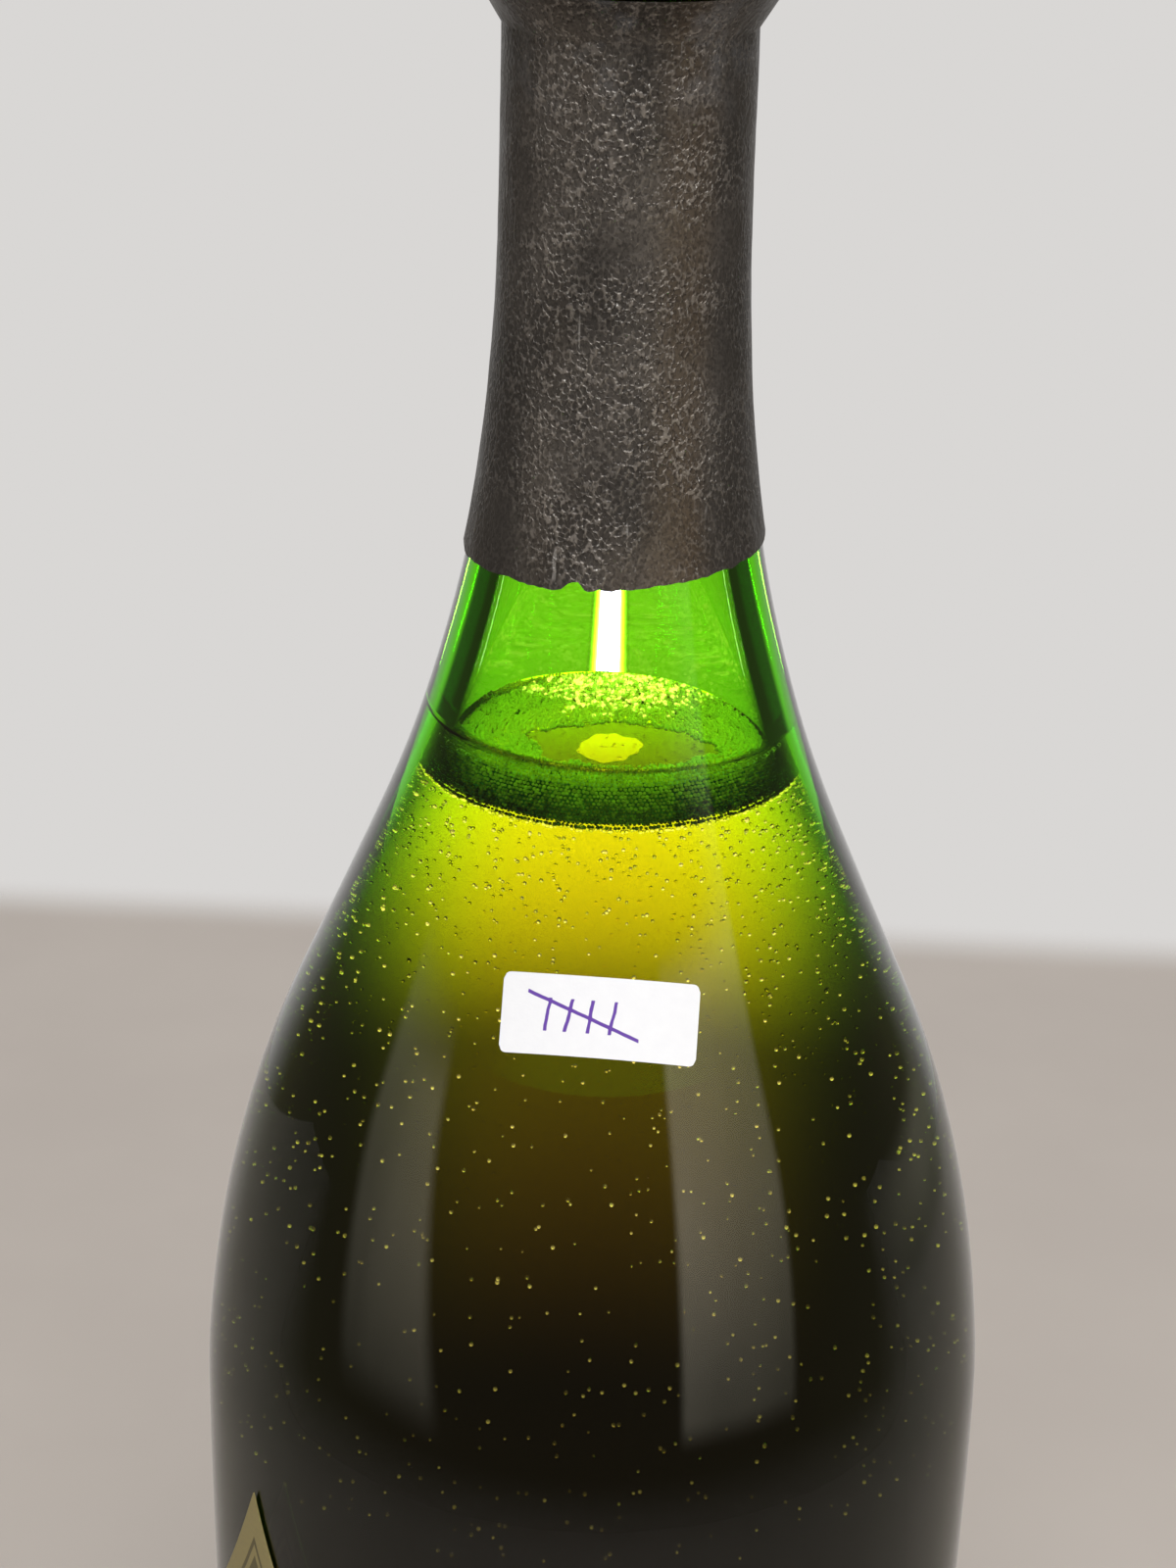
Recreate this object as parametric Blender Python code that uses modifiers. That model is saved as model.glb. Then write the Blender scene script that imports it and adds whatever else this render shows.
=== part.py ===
"""A full bottle of sparkling wine: glass, wine, cork, wire cage, foil and labels.

Metres, +Z up. The origin is the centre of the base, on the table. The front, where the
small sticker is, faces -Y. Angles round the bottle are counted from the front towards +X.
"""

import math

import bmesh
import bpy

# Clearances that several pieces share
SEAT_GAP = 0.0003
SKIN_GAP = 0.00025
CUTTER_OVERRUN = 0.005

# Body and shoulder of the glass
BODY_RADIUS = 0.047
WIDEST_HEIGHT = 0.105
BASE_TAPER = 0.0032
TAPER_POWER = 1.4
SHOULDER_HEIGHT = 0.1525
SHOULDER_SHARES = (
    (0, 1), (0.08, 0.992), (0.2, 0.915), (0.32, 0.763), (0.44, 0.529),
    (0.56, 0.302), (0.66, 0.165), (0.75, 0.079), (0.86, 0.021), (1, 0),
)
SLOPE_STEP = 0.0001

# Neck and mouth of the glass
NECK_RADIUS = 0.01305
NECK_LENGTH = 0.022
NECK_FILLET = 0.0004
RING_RADIUS = 0.0152
RING_HEIGHT = 0.0062
RING_CORNER = 0.0015
GROOVE_RADIUS = 0.0134
GROOVE_HEIGHT = 0.0013
BEAD_RADIUS = 0.0141
BEAD_HEIGHT = 0.007
BEAD_CORNER = 0.0022
LIP_CORNER = 0.0008

# Walls and base of the glass
BODY_WALL = 0.0046
NECK_WALL = 0.0039
BASE_WALL = 0.0075
FLOOR_WALL = 0.006
HEEL_RADIUS = 0.009
INNER_HEEL_RADIUS = 0.006
FOOT_WIDTH = 0.003
PUNT_HEIGHT = 0.03

# Wine and froth
FILL_HEIGHT = 0.1935
FLOOR_GAP = 0.0006
FROTH_DEPTH = 0.0042
FROTH_RISE = 0.0022
FROTH_WIDTH = 0.0028

# Cork
STEM_LENGTH = 0.024
DISC_THICKNESS = 0.0058
DISC_CHAMFER = 0.0004
HEAD_HEIGHT = 0.016
HEAD_RADIUS = 0.015
HEAD_TOP_INSET = 0.0032
HEAD_FOOT_INSET = 0.0005
HEAD_WIDEST_SHARE = 0.44

# Wire cage with its cap
LEG_COUNT = 4
LEG_RADIUS = 0.0006
LEG_SHOULDER = 0.00725
CROWN_WIRE_RADIUS = 0.00045
CROWN_INSET = 0.0008
GIRDLE_WIRE_RADIUS = 0.0005
LOOP_WIRE_RADIUS = 0.0004
LOOP_WIDTH = 0.008
LOOP_LENGTH = 0.014
LOOP_STEM = 0.005
LOOP_STEM_SPREAD = 0.0011
LOOP_BEND = 0.0013
CAP_RADIUS = 0.0132
CAP_THICKNESS = 0.0004
CAP_BOSS_INSET = 0.0024
CAP_BOSS_RISE = 0.0006

# Foil over the cork and down the neck
FOIL_THICKNESS = 0.00025
HOOD_HEADROOM = 0.0007
HOOD_CORNER = 0.004
HOOD_TOP_FLANGE = 0.0075
TOP_DISC_INSET = 0.0002
TEAR_GAP = 0.0004
SLEEVE_HEADROOM = 0.0008
SLEEVE_FLARE_HEIGHT = 0.006
FLARE_POWER = 2
HEM_HEIGHT = 0.2161
HEM_SIDE_TILT = math.radians(2)
HEM_FRONT_TILT = math.radians(3)

# Paper on the glass
PAPER_THICKNESS = 0.0002
LABEL_ANGLE = math.radians(-55.5)
LABEL_APEX_HEIGHT = 0.1073
LABEL_BOTTOM = 0.022
LABEL_WIDTH = 0.064
LABEL_GABLE_HEIGHT = 0.04
LABEL_CORNER = 0.003
SPIRE_SHARE = 0.62
STICKER_WIDTH = 0.0214
STICKER_HEIGHT = 0.0087
STICKER_CENTRE = 0.1715
STICKER_ANGLE = math.radians(-0.8)
STICKER_TILT = math.radians(-2.4)

# Facets
BODY_STEPS = 40
SMALL_STEPS = 28
SHOULDER_RINGS = 22
INNER_RINGS = 14

# Heights and radii that follow from the sizes above
shoulder_top = WIDEST_HEIGHT + SHOULDER_HEIGHT
ring_bottom = shoulder_top + NECK_LENGTH
ring_top = ring_bottom + RING_HEIGHT
bead_bottom = ring_top + GROOVE_HEIGHT
mouth_height = bead_bottom + BEAD_HEIGHT
bore_radius = NECK_RADIUS - NECK_WALL
froth_bottom = FILL_HEIGHT - FROTH_DEPTH
froth_top = FILL_HEIGHT + FROTH_RISE
stem_radius = bore_radius - SEAT_GAP
stem_bottom = mouth_height - STEM_LENGTH
cork_seat = mouth_height + SEAT_GAP
cork_top = cork_seat + HEAD_HEIGHT
cap_bottom = cork_top + SEAT_GAP
cap_top = cap_bottom + CAP_THICKNESS
crown_radius = CAP_RADIUS - CROWN_INSET
crown_height = cap_top + SEAT_GAP + CROWN_WIRE_RADIUS
cage_radius = max(RING_RADIUS, HEAD_RADIUS) + SEAT_GAP + LEG_RADIUS
girdle_height = ring_bottom - SEAT_GAP - GIRDLE_WIRE_RADIUS
girdle_waist = NECK_RADIUS + SEAT_GAP + GIRDLE_WIRE_RADIUS
hood_radius = cage_radius + LEG_RADIUS + SEAT_GAP
hood_ceiling = crown_height + CROWN_WIRE_RADIUS + HOOD_HEADROOM
sleeve_top = girdle_height - GIRDLE_WIRE_RADIUS - SLEEVE_HEADROOM
hood_rim = sleeve_top + TEAR_GAP


def smooth_share(table, at):
    """A smooth curve through a table of shares, read at one place."""
    last = len(table) - 1
    index = next((i for i in range(last) if at <= table[i + 1][0]), last - 1)

    def slope(i):
        low, high = max(i - 1, 0), min(i + 1, last)
        if low == i or high == i:
            return 0
        return (table[high][1] - table[low][1]) / (table[high][0] - table[low][0])

    (x0, y0), (x1, y1) = table[index], table[index + 1]
    span = x1 - x0
    u = (at - x0) / span
    start = y0 * (1 + 2 * u) * (1 - u) ** 2 + slope(index) * span * u * (1 - u) ** 2
    end = y1 * u**2 * (3 - 2 * u) + slope(index + 1) * span * u**2 * (u - 1)
    return start + end


def outer_radius(height):
    """Radius of the outside of the glass below the ring."""
    if height >= shoulder_top:
        return NECK_RADIUS
    if height >= WIDEST_HEIGHT:
        share = smooth_share(SHOULDER_SHARES, (height - WIDEST_HEIGHT) / SHOULDER_HEIGHT)
        return NECK_RADIUS + (BODY_RADIUS - NECK_RADIUS) * share
    return BODY_RADIUS - BASE_TAPER * (1 - height / WIDEST_HEIGHT) ** TAPER_POWER


def outer_stretch(height):
    """Length along the outside of the glass for each unit of height."""
    rise = outer_radius(height + SLOPE_STEP) - outer_radius(height - SLOPE_STEP)
    return math.hypot(1, rise / (2 * SLOPE_STEP))


def inner_radius(height):
    """Radius of the inside of the glass, a wall's thickness in from the outside."""
    share = min(max((height - WIDEST_HEIGHT) / SHOULDER_HEIGHT, 0), 1)
    wall = BODY_WALL + (NECK_WALL - BODY_WALL) * share
    return outer_radius(height) - wall * outer_stretch(height)


def spread(low, high, count):
    """Evenly spaced values from low to high, both included."""
    return [low + (high - low) * i / count for i in range(count + 1)]


def arc(centre_radius, centre_height, radius, start, end, count=3):
    """Points of a rounded corner in a turned outline, with angles in degrees."""
    return [
        (
            centre_radius + radius * math.cos(math.radians(angle)),
            centre_height + radius * math.sin(math.radians(angle)),
        )
        for angle in spread(start, end, count)
    ]


def dome_height(radius, edge_radius, edge_height, top_height):
    """Height of the pushed-up base at a radius."""
    rise = math.cos(math.pi / 2 * (radius / edge_radius) ** 2)
    return edge_height + (top_height - edge_height) * rise


def inner_heights():
    """Heights of the rings inside the glass, from the heel up to the top of the shoulder."""
    heel = BASE_WALL + INNER_HEEL_RADIUS
    return spread(heel, WIDEST_HEIGHT, 3) + spread(WIDEST_HEIGHT, shoulder_top, INNER_RINGS)[1:]


def add_material(name, colour, roughness, metallic=0, transmission=0):
    material = bpy.data.materials.new(name)
    material.use_nodes = True
    material.diffuse_color = (*colour, 1)
    shader = material.node_tree.nodes["Principled BSDF"]
    shader.inputs["Base Color"].default_value = (*colour, 1)
    shader.inputs["Roughness"].default_value = roughness
    shader.inputs["Metallic"].default_value = metallic
    shader.inputs["Transmission Weight"].default_value = transmission
    return material


def add_object(name, data, material, parent=None):
    """An object in the bottle's collection, kept in world place under its joint's empty."""
    obj = bpy.data.objects.new(name, data)
    data.materials.append(material)
    parts.objects.link(obj)
    if parent:
        obj.parent = parent
        obj.matrix_parent_inverse = parent.matrix_basis.inverted()
    return obj


def take_primitive(name, material, parent):
    """Names the primitive that was just added and moves it into the bottle's collection."""
    obj = bpy.context.object
    obj.name = name
    obj.data.name = name
    obj.data.materials.append(material)
    for collection in list(obj.users_collection):
        collection.objects.unlink(obj)
    parts.objects.link(obj)
    obj.parent = parent
    obj.matrix_parent_inverse = parent.matrix_basis.inverted()
    obj.data.shade_smooth()
    obj.data.set_sharp_from_angle(angle=math.radians(35))
    return obj


def add_turned(name, outline, material, parent=None, closed=False, steps=SMALL_STEPS):
    """A turned piece. The outline runs down its outer side, as (radius, height) pairs."""
    mesh = bpy.data.meshes.new(name)
    edges = [(i, i + 1) for i in range(len(outline) - 1)]
    if closed:
        edges.append((len(outline) - 1, 0))
    mesh.from_pydata([(radius, 0, height) for radius, height in outline], edges, [])
    obj = add_object(name, mesh, material, parent)
    turn = obj.modifiers.new("Turn", "SCREW")
    turn.steps = steps
    turn.render_steps = steps
    turn.use_merge_vertices = True
    turn.merge_threshold = 0.00001
    turn.use_smooth_shade = True
    return obj


def add_wire(name, points, wire_radius, material, parent, cyclic=False):
    """A bent wire through points, as a curve with a round bevel."""
    curve = bpy.data.curves.new(name, "CURVE")
    curve.dimensions = "3D"
    curve.bevel_depth = wire_radius
    curve.bevel_resolution = 2
    curve.use_fill_caps = True
    spline = curve.splines.new("POLY")
    spline.points.add(len(points) - 1)
    for point, place in zip(spline.points, points):
        point.co = (*place, 1)
    spline.use_cyclic_u = cyclic
    return add_object(name, curve, material, parent)


def on_circle(angle, radius, height):
    """A place at an angle from the front, counted towards +X."""
    return (radius * math.sin(angle), -radius * math.cos(angle), height)


def add_paper(name, columns, rows, place, material):
    """A sheet of paper on the glass. place() turns shares of its width and height into (x, y, z)."""
    sheet = bmesh.new()
    bmesh.ops.create_grid(sheet, x_segments=columns, y_segments=rows, size=1)
    for vertex in sheet.verts:
        vertex.co = place(vertex.co.x, (vertex.co.y + 1) / 2)
    bmesh.ops.recalc_face_normals(sheet, faces=sheet.faces)
    middle = sheet.faces[:][len(sheet.faces) // 2]
    centre = middle.calc_center_median()
    if middle.normal.x * centre.x + middle.normal.y * centre.y < 0:
        bmesh.ops.reverse_faces(sheet, faces=sheet.faces)
    mesh = bpy.data.meshes.new(name)
    sheet.to_mesh(mesh)
    sheet.free()
    mesh.shade_smooth()
    obj = add_object(name, mesh, material)
    thickness = obj.modifiers.new("Paper", "SOLIDIFY")
    thickness.thickness = PAPER_THICKNESS
    thickness.offset = 1
    return obj


def make_glass(material):
    """The bottle itself: one wall from the inner floor over the mouth and down to the punt."""
    inner_wall = inner_radius(BASE_WALL + INNER_HEEL_RADIUS)
    inner_edge = inner_wall - INNER_HEEL_RADIUS
    heel_edge = outer_radius(HEEL_RADIUS) - HEEL_RADIUS
    punt_edge = heel_edge - FOOT_WIDTH
    floor_top = PUNT_HEIGHT + FLOOR_WALL
    outline = [
        (radius, dome_height(radius, inner_edge, BASE_WALL, floor_top))
        for radius in spread(0, inner_edge, 6)[:-1]
    ]
    outline += arc(inner_edge, BASE_WALL + INNER_HEEL_RADIUS, INNER_HEEL_RADIUS, -90, 0)[:-1]
    outline += [(inner_radius(height), height) for height in inner_heights()]
    outline += arc(bore_radius + LIP_CORNER, mouth_height - LIP_CORNER, LIP_CORNER, 180, 90, 2)
    outline += arc(BEAD_RADIUS - BEAD_CORNER, mouth_height - BEAD_CORNER, BEAD_CORNER, 90, 0)
    outline += arc(BEAD_RADIUS - LIP_CORNER, bead_bottom + LIP_CORNER, LIP_CORNER, 0, -90, 2)
    outline += [(GROOVE_RADIUS, bead_bottom), (GROOVE_RADIUS, ring_top)]
    outline += arc(RING_RADIUS - RING_CORNER, ring_top - RING_CORNER, RING_CORNER, 90, 0)
    outline += arc(RING_RADIUS - RING_CORNER, ring_bottom + RING_CORNER, RING_CORNER, 0, -90)
    outline += [(NECK_RADIUS + NECK_FILLET, ring_bottom), (NECK_RADIUS, ring_bottom - NECK_FILLET)]
    falling = spread(shoulder_top, WIDEST_HEIGHT, SHOULDER_RINGS)
    falling += spread(WIDEST_HEIGHT, HEEL_RADIUS, 4)[1:-1]
    outline += [(outer_radius(height), height) for height in falling]
    outline += arc(heel_edge, HEEL_RADIUS, HEEL_RADIUS, 0, -90, 5)
    outline += [
        (radius, dome_height(radius, punt_edge, 0, PUNT_HEIGHT))
        for radius in spread(punt_edge, 0, 6)
    ]
    return add_turned("glass_bottle", outline, material, steps=BODY_STEPS)


def make_wine(material):
    """The wine up to its surface, stepped in where the froth lies against the glass."""
    column = inner_radius(froth_top) - FROTH_WIDTH - 2 * SEAT_GAP
    step = froth_bottom - SEAT_GAP
    heel = BASE_WALL + INNER_HEEL_RADIUS
    inner_edge = inner_radius(heel) - INNER_HEEL_RADIUS
    walls = [height for height in inner_heights() if height < step - SEAT_GAP]
    outline = [(0, FILL_HEIGHT), (column, FILL_HEIGHT), (column, step)]
    outline += [(inner_radius(height) - SEAT_GAP, height) for height in [step] + walls[::-1]]
    outline += arc(inner_edge, heel, INNER_HEEL_RADIUS - SEAT_GAP, 0, -90)[1:-1]
    floor_top = PUNT_HEIGHT + FLOOR_WALL
    outline += [
        (radius, dome_height(radius, inner_edge, BASE_WALL, floor_top) + FLOOR_GAP)
        for radius in spread(inner_edge, 0, 6)
    ]
    return add_turned("wine", outline, material, steps=BODY_STEPS)


def make_froth(material):
    """The ring of foam that clings to the glass at the surface of the wine."""
    inside = inner_radius(froth_top) - FROTH_WIDTH - SEAT_GAP
    heights = spread(froth_top, froth_bottom, 2)
    outline = [(inner_radius(height) - SEAT_GAP, height) for height in heights]
    outline += [(inside, height) for height in heights[::-1]]
    return add_turned("froth_collar", outline, material, closed=True, steps=BODY_STEPS)


def make_cork(material, disc_material, parent):
    """The cork's body with its mushroom head, and the two discs glued below it."""
    widest = cork_seat + HEAD_HEIGHT * HEAD_WIDEST_SHARE
    top_edge = HEAD_RADIUS - HEAD_TOP_INSET
    foot = BEAD_RADIUS - HEAD_FOOT_INSET
    body_bottom = stem_bottom + 2 * (DISC_THICKNESS + SEAT_GAP)
    outline = [(0, cork_top)]
    for angle in spread(math.pi / 2, 0, 5):
        radius = top_edge + HEAD_TOP_INSET * math.cos(angle)
        outline.append((radius, widest + (cork_top - widest) * math.sin(angle)))
    for angle in spread(0, math.pi / 2, 4)[1:]:
        radius = foot + (HEAD_RADIUS - foot) * math.cos(angle)
        outline.append((radius, widest - (widest - cork_seat) * math.sin(angle)))
    outline += [(stem_radius, cork_seat), (stem_radius, body_bottom), (0, body_bottom)]
    add_turned("cork_body", outline, material, parent)
    for index, name in enumerate(("cork_disc_lower", "cork_disc_upper")):
        bottom = stem_bottom + index * (DISC_THICKNESS + SEAT_GAP)
        bpy.ops.mesh.primitive_cylinder_add(
            vertices=SMALL_STEPS,
            radius=stem_radius,
            depth=DISC_THICKNESS,
            location=(0, 0, bottom + DISC_THICKNESS / 2),
        )
        disc = take_primitive(name, disc_material, parent)
        chamfer = disc.modifiers.new("Chamfer", "BEVEL")
        chamfer.width = DISC_CHAMFER
        chamfer.segments = 1


def make_cap(material, parent):
    """The metal cap on top of the cork, with a raised boss inside its flange."""
    boss = CAP_RADIUS - CAP_BOSS_INSET
    slope_end = boss + CAP_BOSS_RISE
    outline = [
        (0, cap_top + CAP_BOSS_RISE), (boss, cap_top + CAP_BOSS_RISE),
        (slope_end, cap_top), (CAP_RADIUS, cap_top),
        (CAP_RADIUS, cap_bottom), (slope_end, cap_bottom),
        (boss, cap_bottom + CAP_BOSS_RISE), (0, cap_bottom + CAP_BOSS_RISE),
    ]
    add_turned("cage_cap", outline, material, parent)


def make_cage_wires(material, parent):
    """The crown ring, the legs down over the cork, and the girdle under the glass ring."""
    bpy.ops.mesh.primitive_torus_add(
        major_radius=crown_radius,
        minor_radius=CROWN_WIRE_RADIUS,
        major_segments=SMALL_STEPS,
        minor_segments=8,
        location=(0, 0, crown_height),
    )
    take_primitive("cage_crown_ring", material, parent)
    leg_start = crown_radius + CROWN_WIRE_RADIUS + SEAT_GAP + LEG_RADIUS
    leg_bottom = girdle_height + GIRDLE_WIRE_RADIUS + SEAT_GAP
    shoulder = crown_height - LEG_SHOULDER
    profile = [
        (
            leg_start + (cage_radius - leg_start) * math.sin(angle),
            shoulder + LEG_SHOULDER * math.cos(angle),
        )
        for angle in spread(0, math.pi / 2, 6)
    ]
    profile.append((cage_radius, leg_bottom))
    for index in range(LEG_COUNT):
        angle = math.tau * (index + 0.5) / LEG_COUNT
        points = [on_circle(angle, radius, height) for radius, height in profile]
        add_wire(f"cage_leg_{index + 1}", points, LEG_RADIUS, material, parent)
    middle = (cage_radius + girdle_waist) / 2
    swing = (cage_radius - girdle_waist) / 2
    angles = spread(0, math.tau, 12 * LEG_COUNT)[:-1]
    ring = [
        on_circle(angle, middle - swing * math.cos(LEG_COUNT * angle), girdle_height)
        for angle in angles
    ]
    add_wire("cage_girdle", ring, GIRDLE_WIRE_RADIUS, material, parent, cyclic=True)


def make_loop(material, parent):
    """The pulling loop of the girdle, folded up against the cork at the front."""
    root_radius = girdle_waist + GIRDLE_WIRE_RADIUS + SEAT_GAP
    stem_foot = girdle_height + LOOP_BEND
    stem_head = stem_foot + LOOP_STEM
    half = LOOP_WIDTH / 2
    half_stem = LOOP_STEM_SPREAD / 2
    side = [(half_stem, root_radius, girdle_height)]
    for angle in spread(0, math.pi / 2, 3):
        radius = cage_radius - LOOP_BEND * (1 - math.sin(angle))
        side.append((half_stem, radius, stem_foot - LOOP_BEND * math.cos(angle)))
    side.append((half_stem, cage_radius, stem_head))
    for angle in spread(0, math.pi, 8)[1:]:
        across = half_stem + (half - half_stem) * math.sin(angle / 2)
        up = (LOOP_LENGTH - half) * (1 - math.cos(angle)) / 2
        side.append((across, cage_radius, stem_head + up))
    arch = [
        (half * math.cos(angle), cage_radius, stem_head + LOOP_LENGTH - half + half * math.sin(angle))
        for angle in spread(0, math.pi, 8)[1:-1]
    ]
    other_side = [(-across, radius, height) for across, radius, height in side[::-1]]
    points = [
        on_circle(across / radius, radius, height)
        for across, radius, height in side + arch + other_side
    ]
    add_wire("cage_loop", points, LOOP_WIRE_RADIUS, material, parent)


def make_hood(material, disc_material, parent):
    """The foil over the cork and cage, and the round foil disc on top of it."""
    hole = hood_radius - HOOD_TOP_FLANGE
    corner_radius = hood_radius - HOOD_CORNER
    corner_height = hood_ceiling - HOOD_CORNER
    outside = HOOD_CORNER + FOIL_THICKNESS
    outline = [(hole, hood_ceiling + FOIL_THICKNESS)]
    outline += arc(corner_radius, corner_height, outside, 90, 0, 5)
    outline += [(hood_radius + FOIL_THICKNESS, hood_rim), (hood_radius, hood_rim)]
    outline += arc(corner_radius, corner_height, HOOD_CORNER, 0, 90, 5)
    outline += [(hole, hood_ceiling)]
    add_turned("foil_hood", outline, material, parent, closed=True)
    disc_bottom = hood_ceiling + FOIL_THICKNESS + SEAT_GAP
    bpy.ops.mesh.primitive_cylinder_add(
        vertices=SMALL_STEPS,
        radius=corner_radius - TOP_DISC_INSET,
        depth=FOIL_THICKNESS,
        location=(0, 0, disc_bottom + FOIL_THICKNESS / 2),
    )
    take_primitive("foil_top_disc", disc_material, parent)


def make_sleeve(material):
    """The foil pressed round the neck, flared under the cage, with a hem that isn't level."""
    flare_radius = hood_radius - SEAT_GAP - FOIL_THICKNESS
    start = ring_bottom - SLEEVE_FLARE_HEIGHT - SLEEVE_HEADROOM

    def radius_at(height):
        share = max((height - start) / (sleeve_top - start), 0)
        skin = outer_radius(height) + SKIN_GAP
        return skin + (flare_radius - skin) * share**FLARE_POWER

    low = HEM_HEIGHT - CUTTER_OVERRUN
    heights = spread(sleeve_top, start, 5) + spread(start, low, 8)[1:]
    outline = [(radius_at(height) + FOIL_THICKNESS, height) for height in heights]
    outline += [(radius_at(height), height) for height in heights[::-1]]
    sleeve = add_turned("foil_sleeve", outline, material, closed=True)
    size = 2 * (outer_radius(low) + CUTTER_OVERRUN)
    block = bmesh.new()
    bmesh.ops.create_cube(block, size=size)
    mesh = bpy.data.meshes.new("hem_cutter")
    block.to_mesh(mesh)
    block.free()
    cutter = bpy.data.objects.new("hem_cutter", mesh)
    cutters.objects.link(cutter)
    cutter.rotation_euler = (HEM_FRONT_TILT, -HEM_SIDE_TILT, 0)
    cutter.location = (0, 0, HEM_HEIGHT - size / 2)
    cutter.hide_render = True
    cutter.display_type = "WIRE"
    hem = sleeve.modifiers.new("Hem", "BOOLEAN")
    hem.object = cutter
    hem.operation = "DIFFERENCE"


def make_label(material):
    """The front label: straight sides and a flat foot under an ogee gable with a sharp tip."""
    half = LABEL_WIDTH / 2
    gable_foot = LABEL_APEX_HEIGHT - LABEL_GABLE_HEIGHT

    def place(across, up):
        side = abs(across)
        spire = SPIRE_SHARE * (1 - side) ** 3
        arch = (1 - SPIRE_SHARE) * math.sqrt(max(1 - side**2, 0))
        top = gable_foot + LABEL_GABLE_HEIGHT * (spire + arch)
        past = max(side * half - (half - LABEL_CORNER), 0)
        foot = LABEL_BOTTOM + LABEL_CORNER - math.sqrt(max(LABEL_CORNER**2 - past**2, 0))
        height = foot + (top - foot) * up
        angle = LABEL_ANGLE + across * half / BODY_RADIUS
        return on_circle(angle, outer_radius(height) + SKIN_GAP, height)

    return add_paper("front_label", 20, 10, place, material)


def make_sticker(material):
    """The small paper sticker on the shoulder, a little out of true."""
    stretch = outer_stretch(STICKER_CENTRE)

    def place(across, up):
        along = across * STICKER_WIDTH / 2
        over = (up - 0.5) * STICKER_HEIGHT
        turned_along = along * math.cos(STICKER_TILT) - over * math.sin(STICKER_TILT)
        turned_over = along * math.sin(STICKER_TILT) + over * math.cos(STICKER_TILT)
        height = STICKER_CENTRE + turned_over / stretch
        angle = STICKER_ANGLE + turned_along / outer_radius(height)
        return on_circle(angle, outer_radius(height) + SKIN_GAP, height)

    return add_paper("lot_sticker", 8, 3, place, material)


def add_pivot(name, location, parent=None):
    """An empty on a joint's axis, which carries the pieces that move on it."""
    pivot = bpy.data.objects.new(name, None)
    pivot.empty_display_size = BODY_RADIUS
    pivot.location = location
    parts.objects.link(pivot)
    if parent:
        pivot.parent = parent
        pivot.matrix_parent_inverse = parent.matrix_basis.inverted()
    return pivot


for old in list(bpy.data.objects):
    bpy.data.objects.remove(old)
parts = bpy.data.collections.new("champagne_bottle")
cutters = bpy.data.collections.new("cutters")
bpy.context.scene.collection.children.link(parts)
bpy.context.scene.collection.children.link(cutters)

glass = add_material("green_glass", (0.05, 0.22, 0.03), 0.05, transmission=1)
drink = add_material("wine", (0.62, 0.56, 0.05), 0.05, transmission=1)
foam = add_material("froth", (0.3, 0.52, 0.08), 0.4)
foil = add_material("dark_foil", (0.1, 0.095, 0.088), 0.45, metallic=0.6)
paper = add_material("gold_label", (0.19, 0.155, 0.06), 0.4, metallic=0.3)
white_paper = add_material("white_paper", (0.8, 0.8, 0.78), 0.6)
cork = add_material("agglomerated_cork", (0.55, 0.36, 0.2), 0.85)
natural_cork = add_material("natural_cork", (0.6, 0.42, 0.25), 0.8)
cap_metal = add_material("cap_enamel", (0.12, 0.11, 0.1), 0.35, metallic=0.6)
steel = add_material("cage_steel", (0.5, 0.48, 0.44), 0.35, metallic=1)

cork_axis = add_pivot("cork_axis", (0, 0, stem_bottom))
cage_axis = add_pivot("cage_axis", (0, 0, girdle_height), cork_axis)
hood_axis = add_pivot("hood_axis", (0, 0, hood_rim), cage_axis)
loop_axis = add_pivot("loop_axis", on_circle(0, cage_radius, girdle_height), cage_axis)

make_glass(glass)
make_wine(drink)
make_froth(foam)
make_sleeve(foil)
make_label(paper)
make_sticker(white_paper)
make_cork(cork, natural_cork, cork_axis)
make_cap(cap_metal, cage_axis)
make_cage_wires(steel, cage_axis)
make_loop(steel, loop_axis)
make_hood(foil, foil, hood_axis)
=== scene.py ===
"""The looks of a full bottle of sparkling wine: glass, wine and froth, foil, labels, cage and cork.

Metres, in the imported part's frame: +Z up, the base's centre at the origin, the front towards -Y.
Angles round the bottle are counted from the front towards +X.
"""

import math
import random

import bmesh
import bpy
import numpy as np
from mathutils import Matrix, Vector, noise


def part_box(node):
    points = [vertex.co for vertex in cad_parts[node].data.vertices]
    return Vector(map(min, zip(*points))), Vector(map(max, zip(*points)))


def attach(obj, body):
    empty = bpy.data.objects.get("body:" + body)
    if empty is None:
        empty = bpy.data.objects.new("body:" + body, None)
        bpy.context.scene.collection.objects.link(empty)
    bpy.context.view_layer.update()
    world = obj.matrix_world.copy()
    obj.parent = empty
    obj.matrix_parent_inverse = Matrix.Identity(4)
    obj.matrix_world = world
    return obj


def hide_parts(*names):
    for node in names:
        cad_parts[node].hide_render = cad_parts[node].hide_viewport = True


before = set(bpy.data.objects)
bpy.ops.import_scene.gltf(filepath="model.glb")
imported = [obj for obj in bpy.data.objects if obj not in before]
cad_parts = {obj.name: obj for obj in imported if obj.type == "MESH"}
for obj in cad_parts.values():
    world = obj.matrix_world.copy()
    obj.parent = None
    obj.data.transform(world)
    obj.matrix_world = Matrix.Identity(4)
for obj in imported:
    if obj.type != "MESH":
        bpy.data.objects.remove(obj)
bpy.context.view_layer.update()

# Camera, from the photograph's perspective
FOCAL_PIXELS = 3300
IMAGE_HEIGHT = 1600
SENSOR_MM = 36
CAMERA_PITCH = math.radians(22.5)
CAMERA_ROLL = math.radians(1.53)
CAMERA_REACH = 0.3707
AIM_HEIGHT = 0.1865
AXIS_OFFSET_PIXELS = 21
CLIP_START = 0.01

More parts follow.
